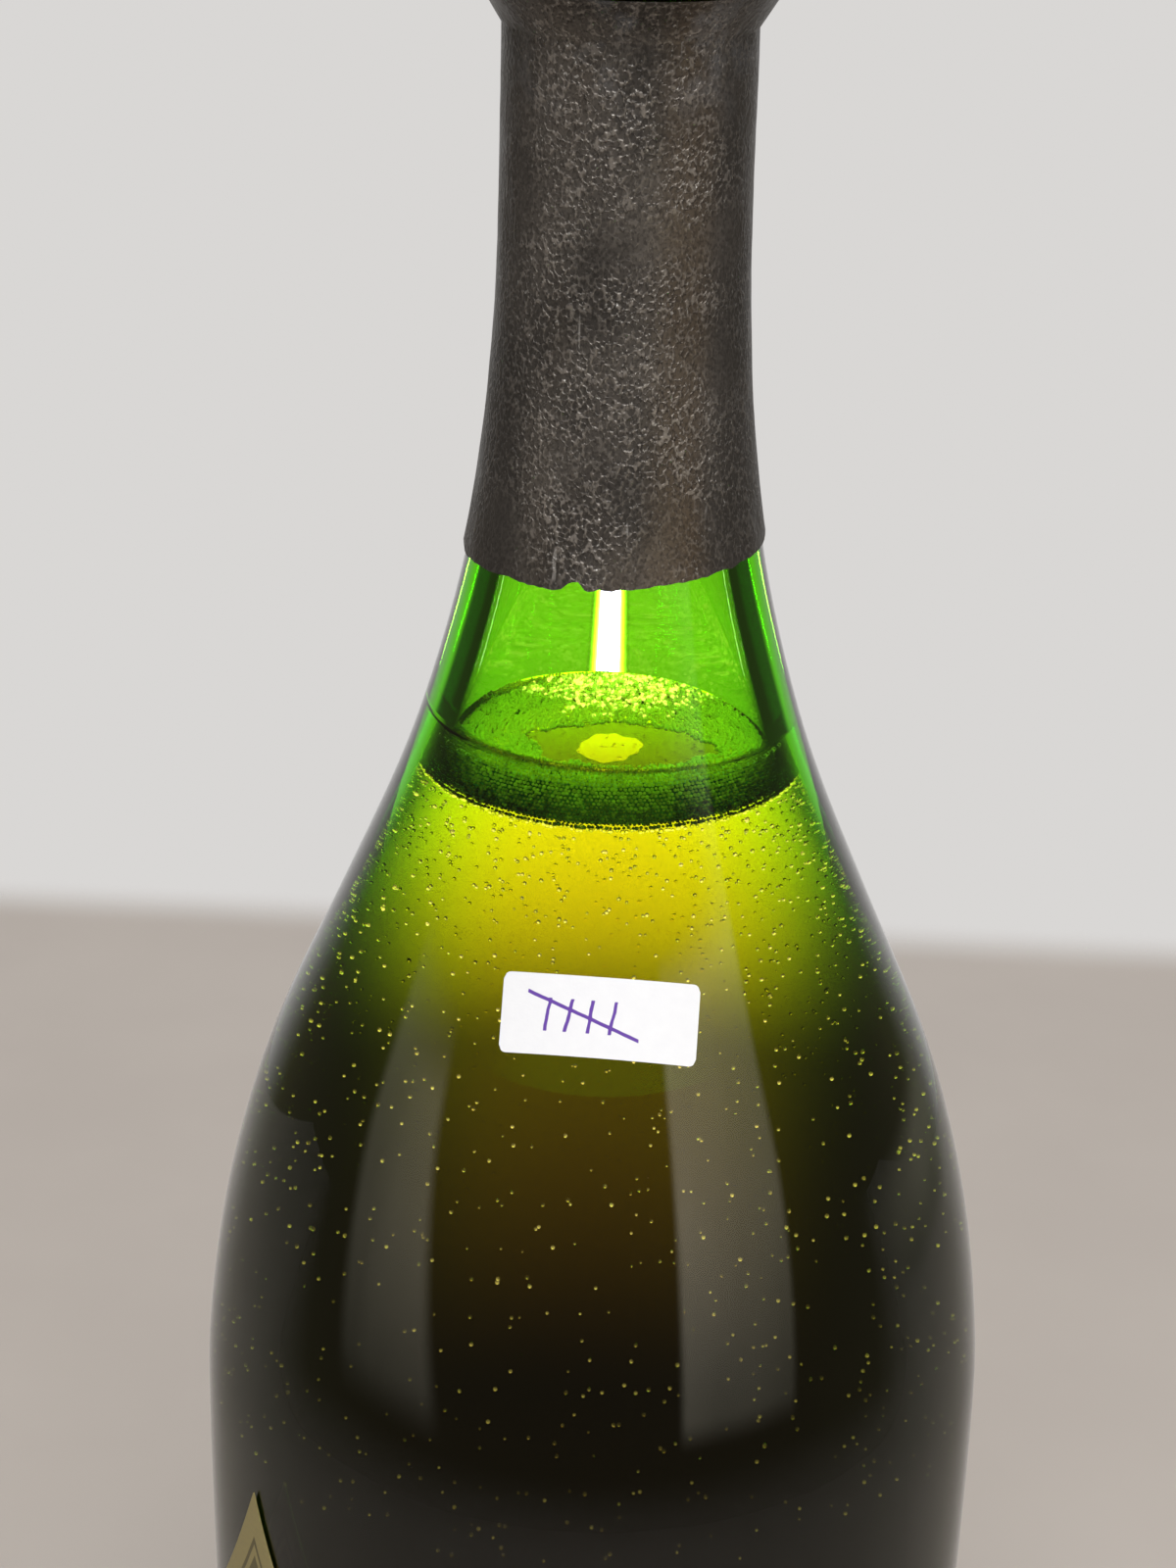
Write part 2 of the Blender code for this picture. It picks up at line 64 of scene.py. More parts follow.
# Table
TABLE_BACK = 0.361
TABLE_REACH = 1.6
TABLE_FADE = 0.012
# Where the table dims in reflections, as painted shade, and the share of it that stays near the bottle
TABLE_MIRRORED = (0.22, 0.38)
TABLE_MIRRORED_SHARE = 0.62
TABLE_TURN = 0.053
TABLE_COLOUR = (0.485, 0.434, 0.391, 1)
TABLE_MOTTLE_COLOUR = (0.46, 0.41, 0.37, 1)

# Lamp over the table
LAMP_PLACE = (0.06, -0.5, 1.15)
LAMP_AIM = (0, 0.05, 0.1)
LAMP_SIZE = 0.8
LAMP_POWER = 11.5

# Room. Spans are where a change starts and ends, in the forward part of a direction
WALL_COLOUR = (0.693, 0.679, 0.665, 1)
ROOM_COLOUR = (0.14, 0.115, 0.08, 1)
SEEN_ROOM_COLOUR = (0.03, 0.03, 0.03, 1)
AMBIENT_COLOUR = (0.55, 0.55, 0.55, 1)
WALL_SPAN = (0.84, 0.9)
WALL_WIDENING = 0.16
BACK_WALL_SPAN = (-0.6, -0.92)
MIRRORED_WALL_SPAN = (0.6, 0.95)
INNER_LIGHT = 16
INNER_LIGHT_SPAN = (-0.3, 0.5)

# A ray has crossed more surfaces than these once it is through the bore, through both walls of
# the neck, or through the wine
BORE_PASSES = 2.5
NECK_PASSES = 3.5
WINE_PASSES = 4.5

# Light sleeve round the shoulder. Bright and dim are the heights between which it grows and
# what it gains there
GLOW_RADIUS = 0.056
GLOW_BOTTOM = 0.001
GLOW_TOP = 0.172
GLOW_AZIMUTH = math.radians(0.3)
GLOW_SPREAD = math.radians(23)
GLOW_BRIGHT = (0.124, 0.156, 6.3)
GLOW_DIM = (0.072, 0.134, 0.72)
GLOW_DARK = 0.015
GLOW_AMBER = (1, 0.64, 0.4, 1)
GLOW_PALE = (1, 0.95, 0.7, 1)

# Bright slit behind the neck. Edges are shares of its width
SLIT_DISTANCE = 0.3
SLIT_WIDTH = 0.0125
SLIT_MIDDLE = 0.13
SLIT_LENGTH = 0.12
SLIT_STRENGTH = 700
SLIT_COLOUR = (0.03, 0.008, 1, 1)
SLIT_FRINGE = 14
SLIT_SCATTER = 0.2
SLIT_CORE_EDGES = (0.6, 0.45)
SLIT_FRINGE_EDGES = (1, 0.4)
SLIT_CLEAR_EDGES = (1, 0.6)

# Pale cards in the reflections. For each: its lowest and highest place, its angles there, its
# level at either side and the share of it that fades out at each edge
CARD_DISTANCE = 0.14
CARD_COLOUR = (1, 0.92, 0.72, 1)
CARD_FOOT_LEVEL = 0.4
CARD_FOOT_SHARE = 0.6
CARD_PATCH_LEVELS = (0.7, 1.1)
CARDS = (
    ("left_card", (0.088, 0.203), (-66, -34), (-78, -50), (0.8, 1.35), 0.16),
    ("right_card", (0.093, 0.221), (20, 51), (20, 56), (2.4, 1.1), 0.09),
    ("side_card", (0.098, 0.142), (84, 132), (70, 134), (0.35, 0.45), 0.35),
)

# Outline of the glass, as in the solid model
BODY_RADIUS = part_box("glass_bottle")[1].x
WIDEST_HEIGHT = 0.105
BASE_TAPER = 0.0032
TAPER_POWER = 1.4
SHOULDER_HEIGHT = 0.1525
SHOULDER_SHARES = (
    (0, 1), (0.08, 0.992), (0.2, 0.915), (0.32, 0.763), (0.44, 0.529),
    (0.56, 0.302), (0.66, 0.165), (0.75, 0.079), (0.86, 0.021), (1, 0),
)
NECK_RADIUS = 0.01305
NECK_LENGTH = 0.022
RING_RADIUS = 0.0152
RING_HEIGHT = 0.0062
RING_CORNER = 0.0015
GROOVE_RADIUS = 0.0134
GROOVE_HEIGHT = 0.0013
BEAD_RADIUS = 0.0141
BEAD_CORNER = 0.0022
LIP_CORNER = 0.0008
BODY_WALL = 0.0046
NECK_WALL = 0.0039
BASE_WALL = 0.0075
FLOOR_WALL = 0.006
HEEL_RADIUS = 0.009
INNER_HEEL_RADIUS = 0.006
FOOT_WIDTH = 0.003
PUNT_HEIGHT = 0.03
SMOOTHING_STEP = 0.001
SMOOTHING_SPAN = 13
TURN_STEPS = 160

# Refraction, and how fast red, green and blue are absorbed, for each metre
GLASS_INDEX = 1.5
GLASS_LOSSES = (164, 16, 553)
WINE_INDEX = 1.1
WINE_LOSSES = (8, 29, 150)

# Wine and froth. The froth's climb up the glass is a mean share of its usual rise, more of it
# at the front and less at the right
WINE_OVERLAP = 0.00015
MENISCUS_WIDTH = 0.0008
FROTH_WIDTH = 0.0028
CLIMB_MEAN = 0.6
CLIMB_FRONT = 0.465
CLIMB_RIGHT = -0.27
COLLAR_BUBBLE = 0.00024
COLLAR_STEP = 0.00046
RAFT_BUBBLE = 0.00027
RAFT_STEP = 0.00054
RAFT_COVER = 0.96
RAFT_RAGGEDNESS = 0.25
EDGE_BUBBLE = 0.00022
CLINGING_BUBBLES = 2400
CLINGING_BUBBLE = 0.0002
CLINGING_REACH = 0.08
PUDDLE_CENTRE = (0.001, -0.0052)
PUDDLE_SIZE = (0.01, 0.0066)
WINDOW_CENTRE = (0, -0.006)
WINDOW_SIZE = (0.0033, 0.0043)
FILM_THICKNESS = 0.00005
SPARKLE_CENTRE = (0.001, 0.0165)
SPARKLE_REACH = 0.013
ROW_SPACING = 0.87
# Painted shade at the froth's sides, the heights over which painted glints grow, the chances that set
# each glint's strength, and how far above the wine the painted light at the froth's top is full
SIDE_SHADE_SPAN = (0.0115, 0.017)
GLOWING_HEIGHTS = (0.118, 0.168)
GLINT_CHANCES = (0.46, 0.62)
PAINTED_LIGHT_RISE = 0.0008

# Foil over the cork and down the neck
SEAT_GAP = 0.0003
SKIN_GAP = 0.00025
FOIL_THICKNESS = 0.00025
SLEEVE_HEADROOM = 0.0008
SLEEVE_FLARE_HEIGHT = 0.006
FLARE_POWER = 2
HEM_HEIGHT = 0.2166
HEM_SIDE_SLOPE = 0.001
HEM_FRONT_SLOPE = 0.0008
HEM_RAGGEDNESS = 0.0003
NOTCH_ANGLE = math.radians(-16)
NOTCH_WIDTH = math.radians(8)
NOTCH_HEIGHT = 0.0008
NOTCH_SLOPES = (1.3, 4)
WRINKLE_HEIGHT = 0.00016
WRINKLE_STRETCH = 0.45
WRINKLES = ((260, 0.65), (900, 0.35))
HOOD_RADIUS = 0.017
HOOD_CORNER = 0.004
HOOD_TOP_FLANGE = 0.0075
HOOD_DIP = 0.0007
HOOD_DIP_START = 0.008
TOP_DISC_INSET = 0.0002
FOIL_STEPS = 288
FOIL_DARK = (0.058, 0.052, 0.047, 1)
FOIL_LIGHT = (0.115, 0.102, 0.09, 1)
FOIL_BROWN = (0.105, 0.074, 0.046, 1)
FOIL_SMUDGE = (0.26, 0.27, 0.29, 1)
# Painted shade for the pits, then painted highlights for the ridges and specks
FOIL_PIT_SHADE = (0.018, 0.016, 0.015, 1)
FOIL_RIDGE_HIGHLIGHT = (0.29, 0.26, 0.23, 1)
FOIL_SPECK_HIGHLIGHT = (0.5, 0.48, 0.45, 1)
FOIL_SCRATCH = (0.34, 0.32, 0.3, 1)
# Painted shade at the foil's sides
FOIL_SHADED_SIDE = (0.03, 0.027, 0.025, 1)
FOIL_SWAY = 0.0011
BROWN_BAND_START = (0.0015, 0.006)
BROWN_BAND_END = (0.0105, 0.0075)
SMUDGE_HEIGHTS = (0.262, 0.274)
# Span across the foil over which the painted shade at its sides comes in
FOIL_SHADED_SIDE_SPAN = (0.0075, 0.0125)

# Wire cage with its cap
GIRDLE_WIRE_RADIUS = 0.0005
CROWN_WIRE_RADIUS = 0.00045
LEG_RADIUS = 0.0006
STRAND_RADIUS = 0.00029
STRAND_PITCH = 0.0032
WIRE_STEP = 0.0003
LEG_SHOULDER = 0.00725
LEG_COUNT = 4
LOOP_WIRE_RADIUS = 0.0004
LOOP_WIDTH = 0.008
LOOP_LENGTH = 0.014
LOOP_STEM = 0.005
LOOP_BEND = 0.0013
LOOP_TWISTS = 1.5
LOOP_EYE_TAPER = 0.25
STEEL_TONES = ((0.42, 0.4, 0.37, 1), (0.56, 0.54, 0.5, 1))
CAP_THICKNESS = 0.0004
CAP_BOSS_INSET = 0.0024
CAP_BOSS_RISE = 0.0006
CAP_PETALS = 8
CAP_PETAL_DEPTH = 0.0011
CAP_STAR_EDGE = (0.0062, 0.006)
CAP_HOLE_EDGE = (0.0022, 0.002)
CAP_BAND_RADIUS = 0.0088
CAP_BAND_EDGE = (0.0004, 0.0003)
CAP_DARK = (0.05, 0.045, 0.042, 1)
CAP_GOLD = (0.5, 0.4, 0.17, 1)

# Cork
HEAD_TOP_INSET = 0.0032
HEAD_FOOT_INSET = 0.0005
HEAD_WIDEST_SHARE = 0.44
DISC_CHAMFER = 0.0004
GRAIN_HEIGHT = 0.00008
GRAIN_SCALE = 700
GRAIN_SHARE = 0.3
PIT_COLOUR = (0.09, 0.05, 0.025, 1)

# Paper on the glass
PAPER_THICKNESS = 0.0002
LABEL_ANGLE = math.radians(-55.5)
LABEL_APEX_HEIGHT = 0.1073
LABEL_BOTTOM = 0.022
LABEL_WIDTH = 0.064
LABEL_GABLE_HEIGHT = 0.04
LABEL_CORNER = 0.003
SPIRE_SHARE = 0.62
LABEL_OLIVES = ((0.12, 0.1, 0.04, 1), (0.19, 0.16, 0.07, 1))
LABEL_GOLDS = ((0.3, 0.25, 0.1, 1), (0.42, 0.35, 0.15, 1))
BORDER_EDGE = (0.0026, 0.0025)
BORDER_LINE_INSET = 0.0034
THICK_LINE = (0.0004, 0.0003)
THIN_LINE = (0.0002, 0.00012)
LOZENGE_HEIGHT = 0.058
LOZENGE_EDGE = (0.0135, 0.0133)
LOZENGE_LINES = ((0.0145, THICK_LINE), (0.0158, THIN_LINE))
LATTICE_STEP = 0.003
LATTICE_LINE = (0.0002, 0.0001)
RULES = ((0.0365, THICK_LINE), (0.0335, THIN_LINE))
RULE_REACH = (0.0222, 0.022)

# Sticker. Its middle lies higher and its ends lower than the solid's, so that its edges look
# straight from the front. Each stroke of its tally has its place and its lean
STICKER_WIDTH = 0.0214
STICKER_HEIGHT = 0.0087
STICKER_CENTRE = 0.1715
STICKER_ANGLE = math.radians(-0.8)
STICKER_TILT = math.radians(-2.4)
STICKER_RISE = 0.0008
STICKER_SAG = 7.5
STICKER_CORNER = 0.0008
STICKER_WHITES = ((0.8, 0.8, 0.82, 1), (0.86, 0.86, 0.87, 1))
INK_COLOUR = (0.13, 0.05, 0.36, 1)
INK_WOBBLE = 0.0004
STROKES = ((-0.0054, 0.12), (-0.0031, 0.2), (-0.0008, 0.1), (0.0016, 0.16))
STROKE_EDGE = (0.00026, 0.00012)
STROKE_REACH = (0.0019, 0.0017)
SLASH_SLOPE = 0.38
SLASH_DROP = 0.0005
SLASH_SHIFT = 0.0016
SLASH_EDGE = (0.00028, 0.00014)
SLASH_REACH = (0.0062, 0.006)

# Merging of vertices that fall together, and the angle from which an edge looks sharp
MERGE = 0.000001
SHARP_ANGLE = math.radians(62)

shoulder_top = WIDEST_HEIGHT + SHOULDER_HEIGHT
ring_bottom = shoulder_top + NECK_LENGTH
ring_top = ring_bottom + RING_HEIGHT
bead_bottom = ring_top + GROOVE_HEIGHT
mouth_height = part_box("glass_bottle")[1].z
bore_radius = NECK_RADIUS - NECK_WALL
fill_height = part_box("wine")[1].z
froth_bottom, froth_top = (corner.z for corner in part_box("froth_collar"))
girdle_height = ring_bottom - SEAT_GAP - GIRDLE_WIRE_RADIUS
girdle_waist = NECK_RADIUS + SEAT_GAP + GIRDLE_WIRE_RADIUS
sleeve_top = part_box("foil_sleeve")[1].z
hood_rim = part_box("foil_hood")[0].z
hood_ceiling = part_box("foil_hood")[1].z - FOIL_THICKNESS
cap_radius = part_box("cage_cap")[1].x
cap_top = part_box("cage_cap")[1].z - CAP_BOSS_RISE
crown_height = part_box("cage_crown_ring")[1].z - CROWN_WIRE_RADIUS
crown_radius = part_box("cage_crown_ring")[1].x - CROWN_WIRE_RADIUS
cage_radius = RING_RADIUS + SEAT_GAP + LEG_RADIUS


class Value:
    """A shader socket that Python's operators work on."""

    def __init__(self, finish, socket):
        self.finish = finish
        self.socket = socket

    def calculate(self, operation, first, second=0):
        return self.finish.add("ShaderNodeMath", {"operation": operation}, {0: first, 1: second})["Value"]

    def __add__(self, other):
        return self.calculate("ADD", self, other)

    __radd__ = __add__

    def __sub__(self, other):
        return self.calculate("SUBTRACT", self, other)

    def __rsub__(self, other):
        return self.calculate("SUBTRACT", other, self)

    def __mul__(self, other):
        return self.calculate("MULTIPLY", self, other)

    __rmul__ = __mul__

    def __pow__(self, other):
        return self.calculate("POWER", self, other)

    def __abs__(self):
        return self.calculate("ABSOLUTE", self)

    def __gt__(self, other):
        return self.calculate("GREATER_THAN", self, other)

    def rise(self, low, high):
        """0 below low, 1 above high, and a smooth step between them. High may be below low."""
        settings = {"interpolation_type": "SMOOTHSTEP"}
        sockets = {"Value": self, "From Min": low, "From Max": high}
        return self.finish.add("ShaderNodeMapRange", settings, sockets)["Result"]


class Finish:
    """A material or world whose nodes are all added by one method."""

    def __init__(self, holder):
        holder.use_nodes = True
        self.holder = holder
        self.tree = holder.node_tree
        self.tree.nodes.clear()

    def add(self, kind, settings=None, sockets=None):
        """A node with its settings, then its sockets. Gives back its outputs by name."""
        node = self.tree.nodes.new(kind)
        for name, value in (settings or {}).items():
            setattr(node, name, value)
        for key, value in (sockets or {}).items():
            if isinstance(key, int):
                socket = node.inputs[key]
            else:
                socket = next(s for s in node.inputs if s.enabled and s.name == key)
            if isinstance(value, Value):
                self.tree.links.new(value.socket, socket)
            else:
                socket.default_value = value
        return {s.name: Value(self, s) for s in node.outputs if s.enabled}

    def coordinates(self, scale=(1, 1, 1), turn=(0, 0, 0)):
        """Places on the piece in metres, scaled and turned for a pattern."""
        place = self.add("ShaderNodeTexCoord")["Object"]
        sockets = {"Vector": place, "Rotation": turn, "Scale": scale}
        return self.add("ShaderNodeMapping", None, sockets)["Vector"]

    def axes(self, place=None):
        """The parts of a vector, or else the x, y and z of a place on the piece, in metres."""
        place = place or self.add("ShaderNodeTexCoord")["Object"]
        parts = self.add("ShaderNodeSeparateXYZ", None, {"Vector": place})
        return parts["X"], parts["Y"], parts["Z"]

    def clouds(self, vector, scale, detail=2, roughness=0.5):
        """Soft noise between 0 and 1."""
        sockets = {"Vector": vector, "Scale": scale, "Detail": detail, "Roughness": roughness}
        return self.add("ShaderNodeTexNoise", None, sockets)["Fac"]

    def cells(self, vector, scale):
        """Irregular cells: the distance to each one's middle and its chance colour."""
        cells = self.add("ShaderNodeTexVoronoi", None, {"Vector": vector, "Scale": scale})
        return cells["Distance"], cells["Color"]

    def blend(self, factor, first, second):
        """A colour between two colours."""
        sockets = {"Factor": factor, "A": first, "B": second}
        return self.add("ShaderNodeMix", {"data_type": "RGBA"}, sockets)["Result"]

    def mixed(self, factor, first, second):
        """A shader between two shaders."""
        return self.add("ShaderNodeMixShader", None, {0: factor, 1: first, 2: second})["Shader"]

    def clear(self):
        """A shader that lets everything through."""
        return self.add("ShaderNodeBsdfTransparent")["BSDF"]

    def light(self, colour, strength, kind="Emission"):
        """A shader that gives light, for a surface or, as a background, for the world."""
        sockets = {"Color": colour, "Strength": strength}
        return self.add("ShaderNode" + kind, None, sockets)[kind]

    def bump(self, height, distance, strength=1):
        sockets = {"Height": height, "Distance": distance, "Strength": strength}
        return self.add("ShaderNodeBump", None, sockets)["Normal"]

    def surface(self, **sockets):
        """A Principled shader. Underscores in the names stand for spaces."""
        named = {name.replace("_", " "): value for name, value in sockets.items()}
        return self.add("ShaderNodeBsdfPrincipled", None, named)["BSDF"]

    def finish(self, surface, volume=None):
        sockets = {"Surface": surface}
        if volume:
            sockets["Volume"] = volume
        kind = "ShaderNodeOutputMaterial"
        if isinstance(self.holder, bpy.types.World):
            kind = "ShaderNodeOutputWorld"
        self.add(kind, None, sockets)
        return self.holder


def new_finish(name):
    return Finish(bpy.data.materials.new(name))


def absorbing(finish, losses):
    """Plain absorption, from how fast red, green and blue are lost, for each metre."""
    density = max(losses)
    colour = tuple(1 - loss / density for loss in losses)
    sockets = {"Color": (*colour, 1), "Density": density}
    return finish.add("ShaderNodeVolumeAbsorption", None, sockets)["Volume"]


def spread(low, high, count):
    """Evenly spaced values from low to high, both included."""
    return [low + (high - low) * i / count for i in range(count + 1)]


def arc(centre_radius, centre_height, radius, start, end, count=6):
    """Points of a rounded corner in a turned outline, with angles in degrees."""
    return [
        (
            centre_radius + radius * math.cos(math.radians(angle)),
            centre_height + radius * math.sin(math.radians(angle)),
        )
        for angle in spread(start, end, count)
    ]


def on_circle(angle, radius, height):
    """A place at an angle from the front, counted towards +X."""
    return Vector((radius * math.sin(angle), -radius * math.cos(angle), height))


def smooth_share(table, at):
    """A smooth curve through a table of shares, read at one place."""
    last = len(table) - 1
    index = next((i for i in range(last) if at <= table[i + 1][0]), last - 1)

    def slope(i):
        low, high = max(i - 1, 0), min(i + 1, last)
        if low == i or high == i:
            return 0
        return (table[high][1] - table[low][1]) / (table[high][0] - table[low][0])

    (x0, y0), (x1, y1) = table[index], table[index + 1]
    span = x1 - x0
    u = (at - x0) / span
    start = y0 * (1 + 2 * u) * (1 - u) ** 2 + slope(index) * span * u * (1 - u) ** 2
    end = y1 * u**2 * (3 - 2 * u) + slope(index + 1) * span * u**2 * (u - 1)
    return start + end


def drawn_radius(height):
    """Radius of the outside of the glass before it is smoothed."""
    if height >= shoulder_top:
        return NECK_RADIUS
    if height >= WIDEST_HEIGHT:
        share = smooth_share(SHOULDER_SHARES, (height - WIDEST_HEIGHT) / SHOULDER_HEIGHT)
        return NECK_RADIUS + (BODY_RADIUS - NECK_RADIUS) * share
    return BODY_RADIUS - BASE_TAPER * (1 - height / WIDEST_HEIGHT) ** TAPER_POWER


table_heights = np.arange(0, ring_bottom, SMOOTHING_STEP)
weights = np.hanning(SMOOTHING_SPAN + 2)[1:-1]
drawn = np.array([drawn_radius(height) for height in table_heights])
padded = np.pad(drawn, SMOOTHING_SPAN // 2, mode="reflect", reflect_type="odd")
table_radii = np.convolve(padded, weights / weights.sum(), mode="valid")


def outer_radius(height):
    """Radius of the outside of the glass below the ring."""
    return min(float(np.interp(height, table_heights, table_radii)), BODY_RADIUS)


def outer_stretch(height):
    """Length along the outside of the glass for each unit of height."""
    rise = outer_radius(height + SMOOTHING_STEP) - outer_radius(height - SMOOTHING_STEP)
    return math.hypot(1, rise / (2 * SMOOTHING_STEP))


def inner_radius(height):
    """Radius of the inside of the glass."""
    if height >= shoulder_top:
        return bore_radius
    share = min(max((height - WIDEST_HEIGHT) / SHOULDER_HEIGHT, 0), 1)
    wall = BODY_WALL + (NECK_WALL - BODY_WALL) * share
    return outer_radius(height) - wall * outer_stretch(height)


def dome_height(radius, edge_radius, edge_height, top_height):
    """Height of the pushed-up base at a radius."""
    rise = math.cos(math.pi / 2 * (radius / edge_radius) ** 2)
    return edge_height + (top_height - edge_height) * rise


def new_mesh(name, work):
    """A mesh from a bmesh, which is used up."""
    mesh = bpy.data.meshes.new(name)
    work.to_mesh(mesh)
    work.free()
    return mesh


def new_object(name, data, material=None):
    """An object in the scene, with its material if it has one."""
    if material:
        data.materials.append(material)
    item = bpy.data.objects.new(name, data)
    bpy.context.scene.collection.objects.link(item)
    return item


def place_piece(name, work, material, body, stands_for):
    """Turns a bmesh into a piece of the object, riding on its body."""
    mesh = new_mesh(name, work)
    mesh.shade_smooth()
    mesh.set_sharp_from_angle(angle=SHARP_ANGLE)
    ride_piece(new_object(name, mesh, material), body, stands_for)


def ride_piece(piece, body, stands_for):
    """Sets a piece's body, the solid that it stands for, if there is one."""
    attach(piece, body)
    if stands_for:
        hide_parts(stands_for)


def turned(outline, steps=TURN_STEPS, closed=False):
    """A bmesh turned from an outline of (radius, height) pairs."""
    work = bmesh.new()
    verts = [work.verts.new((radius, 0, height)) for radius, height in outline]
    edges = [work.edges.new(pair) for pair in zip(verts, verts[1:])]
    if closed:
        edges.append(work.edges.new((verts[-1], verts[0])))
    bmesh.ops.spin(
        work, geom=verts + edges, axis=(0, 0, 1), cent=(0, 0, 0),
        steps=steps, angle=math.tau, use_merge=True,
    )
    bmesh.ops.remove_doubles(work, verts=work.verts, dist=MERGE)
    bmesh.ops.recalc_face_normals(work, faces=work.faces)
    return work


def make_camera():
    """The photograph's camera, above the table and a little to the left."""
    data = bpy.data.cameras.new("camera")
    data.sensor_width = SENSOR_MM
    data.lens = SENSOR_MM * FOCAL_PIXELS / IMAGE_HEIGHT
    data.clip_start = CLIP_START
    camera = new_object("camera", data)
    place = Vector((
        -CAMERA_REACH * AXIS_OFFSET_PIXELS / FOCAL_PIXELS,
        -CAMERA_REACH * math.cos(CAMERA_PITCH),
        AIM_HEIGHT + CAMERA_REACH * math.sin(CAMERA_PITCH),
    ))
    tilt = Matrix.Rotation(math.pi / 2 - CAMERA_PITCH, 4, "X")
    roll = Matrix.Rotation(CAMERA_ROLL, 4, "Z")
    camera.matrix_world = Matrix.Translation(place) @ tilt @ roll
    bpy.context.scene.camera = camera


def make_world():
    """A pale wall behind, the same wall in reflections, and a dim room seen through the sides."""
    finish = Finish(bpy.data.worlds.new("room"))
    path = finish.add("ShaderNodeLightPath")
    passes = path["Transmission Depth"]
    ahead = finish.axes(finish.add("ShaderNodeTexCoord")["Generated"])[1]
    start, full = WALL_SPAN
    across = ahead.rise(start - (passes > BORE_PASSES) * WALL_WIDENING, full)
    across = across + ahead.rise(*BACK_WALL_SPAN) * (passes > NECK_PASSES)
    mirrored = finish.blend(ahead.rise(*MIRRORED_WALL_SPAN), ROOM_COLOUR, WALL_COLOUR)
    through = finish.blend(across, SEEN_ROOM_COLOUR, WALL_COLOUR)
    scattered_light = ahead.rise(*INNER_LIGHT_SPAN) * INNER_LIGHT + 1
    inner = finish.light(AMBIENT_COLOUR, scattered_light, "Background")
    wall, ambient, mirror, beyond = (
        finish.light(colour, 1, "Background")
        for colour in (WALL_COLOUR, AMBIENT_COLOUR, mirrored, through)
    )
    beyond = finish.mixed(path["Diffuse Depth"] > 0.5, beyond, inner)
    shown = finish.mixed(path["Is Glossy Ray"], ambient, mirror)
    shown = finish.mixed(path["Is Transmission Ray"], shown, beyond)
    shown = finish.mixed(path["Is Camera Ray"], shown, wall)
    bpy.context.scene.world = finish.finish(shown)


def table_finish():
    finish = new_finish("table")
    x, y = finish.axes()[:2]
    mottle = finish.clouds(finish.coordinates(), 14, 4)
    colour = finish.blend(mottle.rise(0.3, 0.7), TABLE_COLOUR, TABLE_MOTTLE_COLOUR)
    top = finish.surface(Base_Color=colour, Roughness=0.55, Specular_IOR_Level=0.3)
    # Painted shade in reflections: glossy rays see the table at part strength near and behind the bottle,
    # and the dark room instead of it further in front.
    mirrored = finish.add("ShaderNodeLightPath")["Is Glossy Ray"]
    back = (y + x * TABLE_TURN).rise(TABLE_BACK - TABLE_FADE, TABLE_BACK + TABLE_FADE)
    near = ((x * x + y * y) ** 0.5).rise(*TABLE_MIRRORED) * y.rise(0.1, -0.05)
    fade = back + mirrored * (1 - (1 - near) * TABLE_MIRRORED_SHARE)
    return finish.finish(finish.mixed(fade, top, finish.clear()))


def make_table():
    work = bmesh.new()
    bmesh.ops.create_grid(work, x_segments=1, y_segments=1, size=TABLE_REACH)
    move = TABLE_BACK + TABLE_FADE + TABLE_TURN * TABLE_REACH - TABLE_REACH
    bmesh.ops.translate(work, verts=work.verts, vec=(0, move, 0))
    new_object("table", new_mesh("table", work), table_finish())


def make_lamp():
    """One large soft lamp over the table."""
    data = bpy.data.lights.new("overhead", "AREA")
    data.shape = "DISK"
    data.size = LAMP_SIZE
    data.energy = LAMP_POWER
    lamp = new_object("overhead", data)
    turn = (Vector(LAMP_AIM) - Vector(LAMP_PLACE)).to_track_quat("-Z", "Y")
    lamp.matrix_world = Matrix.Translation(LAMP_PLACE) @ turn.to_matrix().to_4x4()
    lamp.visible_camera = False


def add_card(name, work, material, mirrored):
    """A lit sheet that only shows in reflections, or else only through the glass."""
    material.cycles.emission_sampling = "NONE"
    card = new_object(name, new_mesh(name, work), material)
    card.visible_camera = False
    card.visible_diffuse = False
    card.visible_shadow = False
    card.visible_transmission = not mirrored
    card.visible_glossy = mirrored


def make_light_sleeve():
    """A light sleeve round the shoulder, bright at the back."""
    finish = new_finish("sleeve_light")
    x, y, z = finish.axes()
    passes = finish.add("ShaderNodeLightPath")["Transmission Depth"]
    off = (x.calculate("ARCTAN2", x, y) - GLOW_AZIMUTH) * (1 / GLOW_SPREAD)
    bell = x.calculate("EXPONENT", off**4 * -1)
    strength = 0
    for low, high, share in (GLOW_BRIGHT, GLOW_DIM):
        strength = z.rise(low, high) * share + strength
    strength = strength * bell * (passes > WINE_PASSES) + GLOW_DARK
    colour = finish.blend(z.rise(GLOW_BRIGHT[0], GLOW_BRIGHT[1]), GLOW_PALE, GLOW_AMBER)
    outline = [(GLOW_RADIUS, height) for height in spread(GLOW_BOTTOM, GLOW_TOP, 4)]
    add_card("light_sleeve", turned(outline, 64), finish.finish(finish.light(colour, strength)), False)


